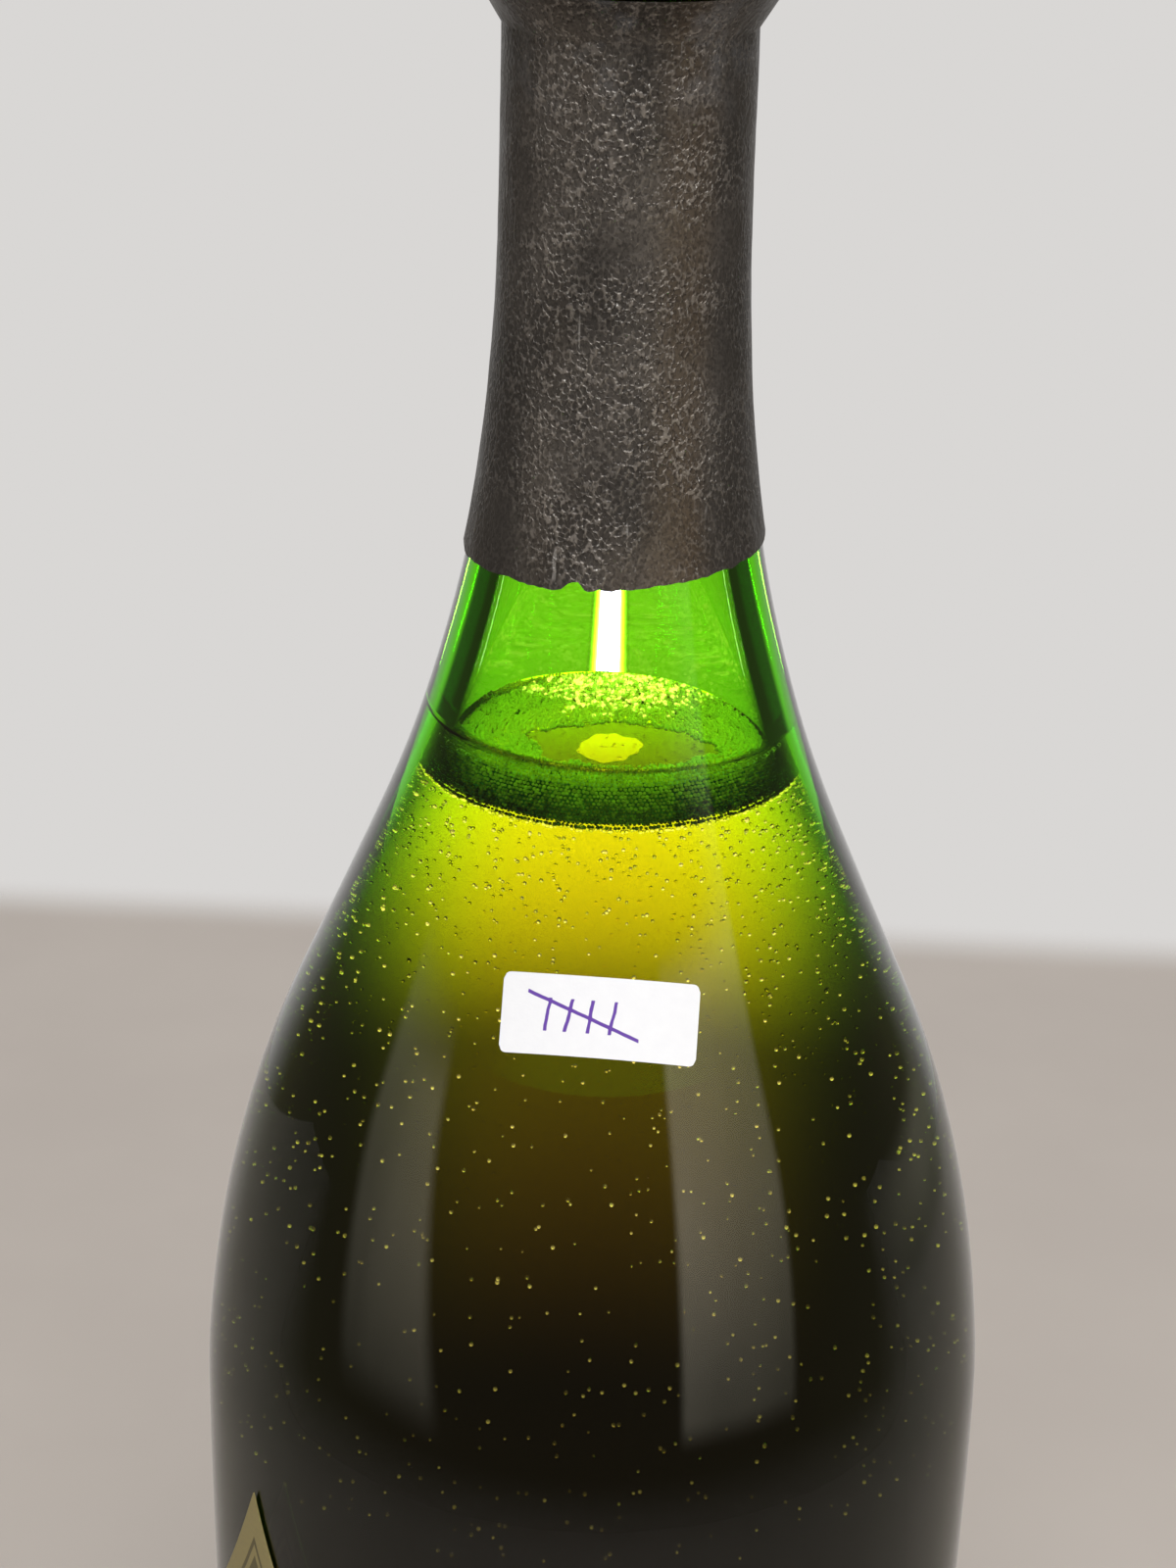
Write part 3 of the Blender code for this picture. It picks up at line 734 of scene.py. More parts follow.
def make_slit():
    """A bright slit behind the neck, with a dimmer fringe."""
    finish = new_finish("slit_light")
    off = abs(finish.axes()[0])
    passes = finish.add("ShaderNodeLightPath")["Transmission Depth"]
    core, fringe, shown = (
        off.rise(SLIT_WIDTH * start, SLIT_WIDTH * end)
        for start, end in (SLIT_CORE_EDGES, SLIT_FRINGE_EDGES, SLIT_CLEAR_EDGES)
    )
    scatter = 1 - (passes > WINE_PASSES) * (1 - SLIT_SCATTER)
    strength = (core * SLIT_STRENGTH + fringe**2 * SLIT_FRINGE) * scatter
    colour = finish.blend(core, (1, 1, 1, 1), SLIT_COLOUR)
    work = bmesh.new()
    bmesh.ops.create_grid(work, x_segments=1, y_segments=1, size=1)
    for vertex in work.verts:
        height = SLIT_MIDDLE + vertex.co.y * SLIT_LENGTH / 2
        vertex.co = (vertex.co.x * SLIT_WIDTH, SLIT_DISTANCE, height)
    shader = finish.mixed(shown, finish.clear(), finish.light(colour, strength))
    add_card("slit", work, finish.finish(shader), False)


def make_cards():
    """Pale cards to the left and right of the camera, for the glass to reflect."""
    for name, heights, low_angles, high_angles, levels, soft in CARDS:
        finish = new_finish(name)
        across, up = finish.axes(finish.add("ShaderNodeUVMap", {"uv_map": "card"})["UV"])[:2]
        fade = across.rise(0, soft) * across.rise(1, 1 - soft) * up.rise(0, soft) * up.rise(1, 1 - soft)
        foot = up.rise(0, CARD_FOOT_SHARE) * (1 - CARD_FOOT_LEVEL) + CARD_FOOT_LEVEL
        level = (across * (levels[1] - levels[0]) + levels[0]) * foot
        patches = finish.clouds(finish.coordinates((1, 1, 0.4)), 14, 3).rise(0.3, 0.65)
        dark, bright = CARD_PATCH_LEVELS
        level = level * (patches * (bright - dark) + dark)
        shader = finish.mixed(fade, finish.clear(), finish.light(CARD_COLOUR, level))
        work = bmesh.new()
        bmesh.ops.create_grid(work, x_segments=24, y_segments=8, size=1)
        layer = work.loops.layers.uv.new("card")
        for face in work.faces:
            for loop in face.loops:
                loop[layer].uv = (loop.vert.co.xy + Vector((1, 1))) / 2
        for vertex in work.verts:
            side, rise = (vertex.co.x + 1) / 2, (vertex.co.y + 1) / 2
            low, high = (start + (end - start) * side for start, end in (low_angles, high_angles))
            angle = math.radians(low + (high - low) * rise)
            height = heights[0] + (heights[1] - heights[0]) * rise
            vertex.co = on_circle(angle, CARD_DISTANCE, height)
        add_card(name, work, finish.finish(shader), True)


def make_glass():
    """The bottle, turned from the inside of its floor round the mouth to the pushed-up base."""
    finish = new_finish("bottle_glass")
    waves = finish.clouds(finish.coordinates((1, 1, 0.35)), 60, 1)
    surface = finish.surface(
        Base_Color=(1, 1, 1, 1), Roughness=0, IOR=GLASS_INDEX, Transmission_Weight=1,
        Normal=finish.bump(waves, 0.0002, 0.3),
    )
    material = finish.finish(surface, absorbing(finish, GLASS_LOSSES))
    inner_wall = inner_radius(BASE_WALL + INNER_HEEL_RADIUS)
    inner_edge = inner_wall - INNER_HEEL_RADIUS
    heel_edge = outer_radius(HEEL_RADIUS) - HEEL_RADIUS
    punt_edge = heel_edge - FOOT_WIDTH
    floor_top = PUNT_HEIGHT + FLOOR_WALL
    inside = spread(BASE_WALL + INNER_HEEL_RADIUS, shoulder_top, 98)
    outside = spread(ring_bottom, HEEL_RADIUS, 108)
    outline = [
        (radius, dome_height(radius, inner_edge, BASE_WALL, floor_top))
        for radius in spread(0, inner_edge, 20)[:-1]
    ]
    outline += arc(inner_edge, BASE_WALL + INNER_HEEL_RADIUS, INNER_HEEL_RADIUS, -90, 0, 8)[:-1]
    outline += [(inner_radius(height), height) for height in inside]
    outline += arc(bore_radius + LIP_CORNER, mouth_height - LIP_CORNER, LIP_CORNER, 180, 90)
    outline += arc(BEAD_RADIUS - BEAD_CORNER, mouth_height - BEAD_CORNER, BEAD_CORNER, 90, 0)
    outline += arc(BEAD_RADIUS - LIP_CORNER, bead_bottom + LIP_CORNER, LIP_CORNER, 0, -90, 4)
    outline += [(GROOVE_RADIUS, bead_bottom), (GROOVE_RADIUS, ring_top)]
    outline += arc(RING_RADIUS - RING_CORNER, ring_top - RING_CORNER, RING_CORNER, 90, 0)
    outline += arc(RING_RADIUS - RING_CORNER, ring_bottom + RING_CORNER, RING_CORNER, 0, -90)
    outline += [(outer_radius(height), height) for height in outside[:-1]]
    outline += arc(heel_edge, HEEL_RADIUS, HEEL_RADIUS, 0, -90, 12)
    outline += [
        (radius, dome_height(radius, punt_edge, 0, PUNT_HEIGHT))
        for radius in spread(punt_edge, 0, 24)
    ]
    place_piece("bottle_shell", turned(outline), material, "bottle", "glass_bottle")


def froth_climb(angle):
    """How far the froth climbs the glass at an angle from the front, as a share of its usual rise."""
    return CLIMB_MEAN + CLIMB_FRONT * math.cos(angle) + CLIMB_RIGHT * math.sin(angle)


def make_wine():
    """The wine, which reaches a little into the glass and climbs it up to the froth's top."""
    finish = new_finish("wine")
    surface = finish.surface(
        Base_Color=(1, 1, 1, 1), Roughness=0, IOR=WINE_INDEX, Transmission_Weight=1,
    )
    material = finish.finish(surface, absorbing(finish, WINE_LOSSES))
    heel = BASE_WALL + INNER_HEEL_RADIUS
    inner_edge = inner_radius(heel) - INNER_HEEL_RADIUS
    edge = inner_radius(fill_height)
    outline = [(0, fill_height), (edge - MENISCUS_WIDTH, fill_height)]
    for share in spread(0, 1, 8)[1:]:
        rise = (froth_top - fill_height) * share**0.5
        outline.append((edge - MENISCUS_WIDTH * (1 - share), fill_height + rise))
    for height in spread(froth_top, heel, 84)[1:]:
        outline.append((inner_radius(height) + WINE_OVERLAP, height))
    outline += arc(inner_edge, heel, INNER_HEEL_RADIUS + WINE_OVERLAP, 0, -90, 8)[1:-1]
    floor_top = PUNT_HEIGHT + FLOOR_WALL
    outline += [
        (radius, dome_height(radius, inner_edge, BASE_WALL, floor_top) - WINE_OVERLAP)
        for radius in spread(inner_edge, 0, 20)
    ]
    work = turned(outline)
    for vertex in work.verts:
        if vertex.co.z > fill_height:
            angle = math.atan2(vertex.co.x, -vertex.co.y)
            height = fill_height + (vertex.co.z - fill_height) * froth_climb(angle)
            if vertex.co.xy.length > edge - WINE_OVERLAP:
                vertex.co = on_circle(angle, inner_radius(height) + WINE_OVERLAP, height)
            vertex.co.z = height
    place_piece("wine_body", work, material, "bottle", "wine")


def froth_finish(
    name, low_colour, high_colour, clarity, index=1.3, side_shade=0, glints=None, undersides=False
):
    """Bubbles: clear beads mixed with a colour that is paler at the top, which is painted light, and
    darker at the sides by side_shade, which is painted shade.

    Glints are painted highlights, the dimmest and the brightest light that single bubbles give off
    as emission. With undersides only the lower sides of the bubbles at the front give it, more of
    it higher up.
    """
    finish = new_finish(name)
    x, y, z = finish.axes()
    chance = finish.clouds(finish.coordinates(), 1500, 1)
    # Painted light and shade: paler from the froth's bottom up to just above the wine, and darker at the
    # sides by side_shade.
    share = z.rise(froth_bottom, fill_height + PAINTED_LIGHT_RISE) + (chance.rise(0.3, 0.7) - 0.5) * 0.5
    colour = finish.blend(share, (*low_colour, 1), (*high_colour, 1))
    shade = abs(x).rise(*SIDE_SHADE_SPAN) * side_shade
    light = {}
    # Painted glints, given off as emission.
    if glints:
        glow = finish.blend(chance.rise(*GLINT_CHANCES), *((*glint, 1) for glint in glints))
        if undersides:
            # Only the lower sides of the bubbles at the front glow, more of it higher up.
            rise = finish.add("ShaderNodeAttribute", {"attribute_name": "rise"})["Fac"]
            below = rise.rise(0.1, -0.75) * y.rise(0.01, -0.01)
            higher = z.rise(*GLOWING_HEIGHTS) * 0.8 + 0.2
            glow = finish.blend(below * higher, (0, 0, 0, 1), glow)
        light = {"Emission_Color": glow, "Emission_Strength": 1}
    surface = finish.surface(
        Base_Color=finish.blend(shade, colour, (0.02, 0.018, 0.008, 1)),
        Roughness=0.03, IOR=index, Transmission_Weight=clarity, **light,
    )
    return finish.finish(surface)


def scattered(matrices, subdivisions):
    """A bmesh of small balls, one for each matrix, that keeps each place's rise in its ball."""
    ball = bmesh.new()
    bmesh.ops.create_icosphere(ball, subdivisions=subdivisions, radius=1)
    ball.verts.index_update()
    spots = [vertex.co.copy() for vertex in ball.verts]
    sides = [[vertex.index for vertex in face.verts] for face in ball.faces]
    ball.free()
    places = [matrix @ spot for matrix in matrices for spot in spots]
    starts = range(0, len(places), len(spots))
    faces = [[start + index for index in side] for start in starts for side in sides]
    mesh = bpy.data.meshes.new("bubbles")
    mesh.from_pydata(places, [], faces)
    rise = mesh.attributes.new("rise", "FLOAT", "POINT")
    rise.data.foreach_set("value", [spot.z for spot in spots] * len(matrices))
    work = bmesh.new()
    work.from_mesh(mesh)
    bpy.data.meshes.remove(mesh)
    return work


def bubble(place, radius, chance):
    """A ball's matrix: its place, and its size with some chance in it."""
    size = radius * chance.uniform(0.72, 1.2)
    return Matrix.Translation(place) @ Matrix.Scale(size, 4)


def collar_bubbles(chance):
    """Froth against the glass, in rows of bubbles one above the other."""
    matrices = []
    height = froth_bottom
    half_step = 0
    while height < 2 * froth_top - fill_height:
        wall = inner_radius(height)
        count = round(math.tau * wall / COLLAR_STEP)
        half_step = 0.5 - half_step
        for index in range(count):
            angle = math.tau * (index + half_step + chance.uniform(-0.15, 0.15)) / count
            lift = chance.uniform(-0.15, 0.15) * COLLAR_STEP
            inset = COLLAR_BUBBLE * chance.uniform(1.1, 1.6)
            place = on_circle(angle, wall - inset, height + lift)
            if place.z < fill_height + (froth_top - fill_height) * froth_climb(angle):
                matrices.append(bubble(place, COLLAR_BUBBLE, chance))
        height += COLLAR_STEP * ROW_SPACING
    return matrices


def raft_bubbles(chance):
    """Froth afloat on the wine, with a clear puddle in it: plain bubbles, and lit ones at the back."""
    plain, lit = [], []
    radius = inner_radius(fill_height) - RAFT_STEP
    while radius > RAFT_STEP:
        count = round(math.tau * radius / RAFT_STEP)
        for index in range(count):
            angle = math.tau * (index + chance.uniform(-0.25, 0.25)) / count
            shift = chance.uniform(-0.2, 0.2) * RAFT_STEP
            place = on_circle(angle, radius + shift, fill_height + RAFT_BUBBLE * 0.5)
            across = (place.x - PUDDLE_CENTRE[0]) / PUDDLE_SIZE[0]
            along = (place.y - PUDDLE_CENTRE[1]) / PUDDLE_SIZE[1]
            ragged = 1 + RAFT_RAGGEDNESS * noise.noise(place * 400)
            if math.hypot(across, along) > ragged and chance.random() < RAFT_COVER:
                off = math.hypot(place.x - SPARKLE_CENTRE[0], place.y - SPARKLE_CENTRE[1])
                near_slit = chance.random() < 1.1 - off / SPARKLE_REACH
                (lit if near_slit else plain).append(bubble(place, RAFT_BUBBLE, chance))
        radius -= RAFT_STEP * ROW_SPACING
    return plain, lit


def froth_core():
    """The denser foam behind the bubbles that touch the glass."""
    outer = [
        (inner_radius(height) - 3 * COLLAR_BUBBLE, height)
        for height in spread(froth_bottom + COLLAR_BUBBLE, fill_height - COLLAR_BUBBLE, 8)
    ]
    inner = inner_radius(froth_top) - FROTH_WIDTH
    outline = outer + [(inner, outer[-1][1]), (inner, outer[0][1])]
    work = turned(outline, TURN_STEPS, closed=True)
    for vertex in work.verts:
        vertex.co += vertex.co.xy.to_3d().normalized() * 0.0002 * noise.noise(vertex.co * 900)
    return work


def puddle_film():
    """A thin film that darkens the puddle as painted shade, with an open window in its middle."""
    shares = spread(0, 1, 12)
    work = turned([(1 + s, 0) for s in shares] + [(1 + s, 1) for s in shares[::-1]], 96, closed=True)
    for vertex in work.verts:
        flat = vertex.co.xy.to_3d()
        way = flat.normalized()
        share = flat.length - 1
        inner = 1 + 0.3 * noise.noise(way * 2 + Vector((7, 4, 2)))
        outer = 1.12 * (1 + 0.15 * noise.noise(way * 3))
        start = Vector(WINDOW_CENTRE) + Vector((way.x * WINDOW_SIZE[0], way.y * WINDOW_SIZE[1])) * inner
        end = Vector(PUDDLE_CENTRE) + Vector((way.x * PUDDLE_SIZE[0], way.y * PUDDLE_SIZE[1])) * outer
        height = fill_height + FILM_THICKNESS * (1 + vertex.co.z)
        vertex.co = (*start.lerp(end, share), height)
    return work


def edge_bubbles(chance):
    """Round clear bubbles that hang in a ragged row under the froth."""
    matrices = []
    wall = inner_radius(froth_bottom)
    count = round(math.tau * wall / (2.1 * EDGE_BUBBLE))
    for index in range(count):
        angle = math.tau * (index + chance.uniform(-0.3, 0.3)) / count
        drop = EDGE_BUBBLE * chance.uniform(0.4, 2.4)
        place = on_circle(angle, wall - EDGE_BUBBLE * 1.2, froth_bottom - drop)
        matrices.append(bubble(place, EDGE_BUBBLE, chance))
    return matrices


def clinging_bubbles(chance):
    """Small bubbles on the inside of the glass, fewer further down."""
    matrices = []
    for _ in range(CLINGING_BUBBLES):
        height = froth_bottom - 4 * EDGE_BUBBLE - CLINGING_REACH * chance.random() ** 1.4
        angle = chance.uniform(-math.pi, math.pi)
        wall = inner_radius(height)
        place = on_circle(angle, wall - CLINGING_BUBBLE * 1.5, height)
        matrices.append(bubble(place, CLINGING_BUBBLE, chance))
    return matrices


def make_froth():
    """The froth's bubbles, the foam between them and a film over the puddle, both dark as painted shade,
    and the bubbles lower on the glass.
    """
    chance = random.Random(7)
    # The collar's colour: painted shade below the wine, painted light above it, and painted shade at its
    # sides.
    dark = froth_finish("collar_froth_lit_and_shaded", (0.05, 0.05, 0.01), (1, 0.8, 0.2), 0.4, 1.3, 0.95)
    cream = (1, 0.9, 0.5)
    pale = froth_finish("froth_pale", (1, 0.8, 0.4), cream, 0.45)
    # The lit bubbles near the slit give off painted glints.
    lit = froth_finish("froth_lit", cream, cream, 0.3, glints=((0.03, 0.12, 0), (1.6, 1.1, 1.8)))
    white = (1, 1, 1)
    # Edge and clinging bubbles give off painted highlights on their lower sides.
    edge = froth_finish(
        "froth_edge_beads", white, white, 1, 1.2,
        glints=((0.5, 0.3, 0.1), (1.8, 0.9, 1.2)), undersides=True,
    )
    clear = froth_finish(
        "froth_clear", white, white, 1, 1.3,
        glints=((0.25, 0.1, 0.25), (1.5, 0.62, 1.6)), undersides=True,
    )
    # Bluish grey tint for the puddle's film: painted shade, and in its blue a painted reflection.
    smoke = (0.31, 0.44, 0.6)
    film = froth_finish("puddle_shade_film", smoke, smoke, 1, 1.05)
    # The foam behind the collar's bubbles, painted in dark greens as shade.
    foam = new_finish("froth_core")
    cells = foam.cells(foam.coordinates(), 2600)[0]
    tone = foam.blend(cells.rise(0.2, 0.7), (0.05, 0.14, 0.01, 1), (0.012, 0.035, 0.004, 1))
    core = foam.finish(foam.surface(Base_Color=tone, Roughness=0.4))
    place_piece("froth_body", froth_core(), core, "bottle", None)
    collar = scattered(collar_bubbles(chance), 1)
    place_piece("froth_ring", collar, dark, "bottle", "froth_collar")
    plain, near_slit = raft_bubbles(chance)
    place_piece("froth_raft", scattered(plain, 2), pale, "bottle", None)
    place_piece("froth_sparkle", scattered(near_slit, 2), lit, "bottle", None)
    place_piece("puddle_shade_film", puddle_film(), film, "bottle", None)
    place_piece("froth_edge", scattered(edge_bubbles(chance), 2), edge, "bottle", None)
    cling = scattered(clinging_bubbles(chance), 2)
    place_piece("clinging_bubbles", cling, clear, "bottle", None)


def foil_finish():
    """Dark soft foil with a fine pitted embossing, smooth patches, stains and scratches, with painted
    highlights on its ridges and specks and painted shade in its pits and towards its sides.
    """
    finish = new_finish("foil_dark")
    place = finish.coordinates((1, 1, 0.8))
    noises = finish.add("ShaderNodeTexNoise", None, {"Vector": place, "Scale": 700, "Detail": 2})
    sockets = {"Vector": noises["Color"], "Scale": FOIL_SWAY}
    sway = finish.add("ShaderNodeVectorMath", {"operation": "SCALE"}, sockets)["Vector"]
    bent = finish.add("ShaderNodeVectorMath", {"operation": "ADD"}, {0: place, 1: sway})["Vector"]
    ridges = finish.cells(bent, 1900)[0].rise(0.42, 0.78)
    patches = finish.clouds(place, 130, 2)
    embossed = patches.rise(0.34, 0.6) * 0.8 + 0.2
    stains = finish.clouds(place, 75, 4, 0.6)
    streaks = finish.clouds(finish.coordinates((1, 1, 0.05), (0.1, 0.06, 0)), 900, 2)
    scratches = streaks.rise(0.7, 0.76)
    grain = finish.clouds(place, 3000, 2)
    x, y, z = finish.axes()
    band = x.rise(*BROWN_BAND_START) * x.rise(*BROWN_BAND_END) * y.rise(0, -0.004)
    brown = finish.clouds(finish.coordinates((1, 1, 0.3)), 55, 3).rise(0.5, 0.72) * 0.5 + band * 0.5
    smudges = finish.clouds(place, 190, 3).rise(0.5, 0.68) * z.rise(*SMUDGE_HEIGHTS)
    # Bright specks where the foil is embossed: painted highlights.
    speck_highlights = finish.clouds(place, 2300, 1).rise(0.68, 0.76) * embossed
    shade = finish.blend(stains.rise(0.35, 0.65), FOIL_DARK, FOIL_LIGHT)
    # The brown, the smudges and the scratches are marks on the foil; the pit colour is painted shade, the
    # ridge and speck colours painted highlights, and the side colour painted shade.
    for cover, colour in (
        (brown, FOIL_BROWN),
        (smudges * 0.5, FOIL_SMUDGE),
        (grain.rise(0.55, 0.35) * 0.45, FOIL_PIT_SHADE),
        (ridges * embossed * grain.rise(0.3, 0.6) * 0.75, FOIL_RIDGE_HIGHLIGHT),
        (speck_highlights * 0.8, FOIL_SPECK_HIGHLIGHT),
        (scratches * 0.7, FOIL_SCRATCH),
        (abs(x).rise(*FOIL_SHADED_SIDE_SPAN) * 0.6, FOIL_SHADED_SIDE),
    ):
        shade = finish.blend(cover, shade, colour)
    height = ridges * embossed + patches * 3 + scratches * 0.5
    surface = finish.surface(
        Base_Color=shade, Metallic=0.45, Roughness=patches * 0.25 + 0.28, Specular_IOR_Level=0.3,
        Normal=finish.bump(height, 0.00016, 0.9),
    )
    return finish.finish(surface)


def hem_height(angle):
    """Height of the sleeve's torn lower edge at an angle from the front."""
    height = HEM_HEIGHT + HEM_SIDE_SLOPE * math.sin(angle) - HEM_FRONT_SLOPE * math.cos(angle)
    around = Vector((math.sin(angle), math.cos(angle), 0))
    height += HEM_RAGGEDNESS * noise.fractal(around * 6, 0.8, 2, 3)
    off = (angle - NOTCH_ANGLE) / (NOTCH_WIDTH / 2)
    left, right = NOTCH_SLOPES
    return height + NOTCH_HEIGHT * max(min(1, left * (1 + off), right * (1 - off)), 0)


def sleeve_radius(height):
    """Inside radius of the foil sleeve, flared under the cage."""
    flare_radius = HOOD_RADIUS - SEAT_GAP - FOIL_THICKNESS
    start = ring_bottom - SLEEVE_FLARE_HEIGHT - SLEEVE_HEADROOM
    share = max((height - start) / (sleeve_top - start), 0)
    skin = outer_radius(height) + SKIN_GAP
    return skin + (flare_radius - skin) * share**FLARE_POWER


def wrinkle(place):
    """Height of the foil's wrinkles at a place, from nothing to 1."""
    stretched = Vector((place.x, place.y, place.z * WRINKLE_STRETCH))
    return 0.5 + 0.5 * sum(share * noise.noise(stretched * scale) for scale, share in WRINKLES)


def make_sleeve(material):
    """The foil down the neck. Its outline is drawn with a radius of 2 outside and 1 inside."""
    outline = [(2, share) for share in spread(0, 1, 150)]
    outline += [(1, share) for share in spread(1, 0, 12)]
    work = turned(outline, FOIL_STEPS, closed=True)
    for vertex in work.verts:
        outside = vertex.co.xy.length > 1.5
        angle = math.atan2(vertex.co.x, -vertex.co.y)
        low = hem_height(angle)
        height = low + (sleeve_top - low) * vertex.co.z
        radius = sleeve_radius(height)
        if outside:
            place = on_circle(angle, radius, height)
            radius += FOIL_THICKNESS + WRINKLE_HEIGHT * (wrinkle(place) - 0.5)
        vertex.co = on_circle(angle, radius, height)
    place_piece("neck_foil", work, material, "bottle", "foil_sleeve")


def make_hood(material):
    hole = HOOD_RADIUS - HOOD_TOP_FLANGE
    corner_radius = HOOD_RADIUS - HOOD_CORNER
    corner_height = hood_ceiling - HOOD_CORNER
    outside = HOOD_CORNER + FOIL_THICKNESS
    outer = HOOD_RADIUS + FOIL_THICKNESS
    outline = [(radius, hood_ceiling + FOIL_THICKNESS) for radius in spread(hole, corner_radius, 6)]
    outline += arc(corner_radius, corner_height, outside, 90, 0, 14)[1:]
    outline += [(outer, height) for height in spread(corner_height, hood_rim, 70)[1:]]
    outline += [(HOOD_RADIUS, height) for height in spread(hood_rim, corner_height, 70)[:-1]]
    outline += arc(corner_radius, corner_height, HOOD_CORNER, 0, 90, 14)
    outline += [(hole, hood_ceiling)]
    work = turned(outline, FOIL_STEPS, closed=True)
    for vertex in work.verts:
        angle = math.atan2(vertex.co.x, -vertex.co.y)
        radius = vertex.co.xy.length
        if vertex.co.z > corner_height:
            continue
        between = 0.5 + 0.5 * math.cos(LEG_COUNT * angle)
        share = min((corner_height - vertex.co.z) / HOOD_DIP_START, 1)
        slack = 0.6 + 0.4 * noise.noise(vertex.co * 120)
        radius -= HOOD_DIP * between * share * slack
        if radius > HOOD_RADIUS - HOOD_DIP:
            radius -= WRINKLE_HEIGHT * wrinkle(vertex.co)
        vertex.co = on_circle(angle, radius, vertex.co.z)
    place_piece("cork_foil", work, material, "hood", "foil_hood")
    disc_radius = corner_radius - TOP_DISC_INSET
    low, high = (corner.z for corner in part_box("foil_top_disc"))
    outline = [(radius, high) for radius in spread(0, disc_radius, 40)]
    outline += [(radius, low) for radius in spread(disc_radius, 0, 8)]
    disc = turned(outline, 144)
    place_piece("top_seal", disc, material, "hood", "foil_top_disc")


def add_wire(name, paths, radius, material, body, stands_for, cyclic=False):
    """Wire along paths, each a list of places, as curves with a round bevel."""
    curve = bpy.data.curves.new(name, "CURVE")
    curve.dimensions = "3D"
    curve.bevel_depth = radius
    curve.bevel_resolution = 3
    curve.use_fill_caps = not cyclic
    for places in paths:
        spline = curve.splines.new("POLY")
        spline.points.add(len(places) - 1)
        for point, place in zip(spline.points, places):
            point.co = (*place, 1)
        spline.use_cyclic_u = cyclic
    ride_piece(new_object(name, curve, material), body, stands_for)


def smooth_path(places, step):
    """Places at even steps along a smooth curve through a few places."""
    knots = [places[0]] + list(places) + [places[-1]]
    dense = []
    for before, start, end, after in zip(knots, knots[1:], knots[2:], knots[3:]):
        for u in spread(0, 1, 12)[:-1]:
            bend = start * 2 + (end - before) * u
            bend += (before * 2 - start * 5 + end * 4 - after) * u**2
            bend += (start * 3 - before - end * 3 + after) * u**3
            dense.append(bend * 0.5)
    dense.append(places[-1])
    lengths = [0]
    for a, b in zip(dense, dense[1:]):
        lengths.append(lengths[-1] + (b - a).length)
    count = max(round(lengths[-1] / step), 1)
    wanted = np.linspace(0, lengths[-1], count + 1)
    columns = [np.interp(wanted, lengths, [place[i] for place in dense]) for i in range(3)]
    return [Vector(row) for row in zip(*columns)]


def twisted(path, offset, pitch, turn=0):
    """Two strands wound round a path."""
    strands = ([], [])
    length = 0
    for index, place in enumerate(path):
        ahead = path[min(index + 1, len(path) - 1)] - path[max(index - 1, 0)]
        if index:
            length += (place - path[index - 1]).length
        outward = Vector((place.x, place.y, 0)).normalized()
        side = ahead.cross(outward).normalized()
        lift = side.cross(ahead).normalized()
        angle = math.tau * length / pitch + turn
        for sign, strand in zip((1, -1), strands):
            strand.append(place + (side * math.cos(angle) + lift * math.sin(angle)) * offset * sign)
    return list(strands)


def steel_finish():
    finish = new_finish("cage_wire")
    grain = finish.clouds(finish.coordinates(), 900, 3)
    tone = finish.blend(grain, *STEEL_TONES)
    surface = finish.surface(
        Base_Color=tone, Metallic=1, Roughness=grain * 0.25 + 0.2,
        Normal=finish.bump(grain, 0.00002, 0.6),
    )
    return finish.finish(surface)


def make_cage():
    """Four twisted legs from the crown ring down to the girdle, the pulling loop and the cap."""
    material = steel_finish()
    offset = LEG_RADIUS - STRAND_RADIUS
    leg_start = crown_radius + CROWN_WIRE_RADIUS + SEAT_GAP + LEG_RADIUS
    leg_bottom = girdle_height + GIRDLE_WIRE_RADIUS + SEAT_GAP
    shoulder = crown_height - LEG_SHOULDER
    profile = [
        (
            leg_start + (cage_radius - leg_start) * math.sin(angle),
            shoulder + LEG_SHOULDER * math.cos(angle),
        )
        for angle in spread(0, math.pi / 2, 6)
    ]
    profile += [(cage_radius, height) for height in spread(shoulder, leg_bottom, 5)[1:]]
    for index in range(LEG_COUNT):
        angle = math.tau * (index + 0.5) / LEG_COUNT
        path = smooth_path([on_circle(angle, radius, height) for radius, height in profile], WIRE_STEP)
        name = f"cage_leg_{index + 1}"
        strands = twisted(path, offset, STRAND_PITCH)
        add_wire(f"leg_wire_{index + 1}", strands, STRAND_RADIUS, material, "cage", name)
    angles = spread(0, math.tau, 120)[:-1]
    crown = [on_circle(angle, crown_radius, crown_height) for angle in angles]
    add_wire("crown_wire", [crown], CROWN_WIRE_RADIUS, material, "cage", "cage_crown_ring", True)
    middle = (cage_radius + girdle_waist) / 2
    swing = (cage_radius - girdle_waist) / 2
    girdle = [
        on_circle(angle, middle - swing * math.cos(LEG_COUNT * angle), girdle_height)
        for angle in spread(0, math.tau, 192)[:-1]
    ]
    add_wire("girdle_wire", [girdle], GIRDLE_WIRE_RADIUS, material, "cage", "cage_girdle", True)
    make_loop(material)
    make_cap()


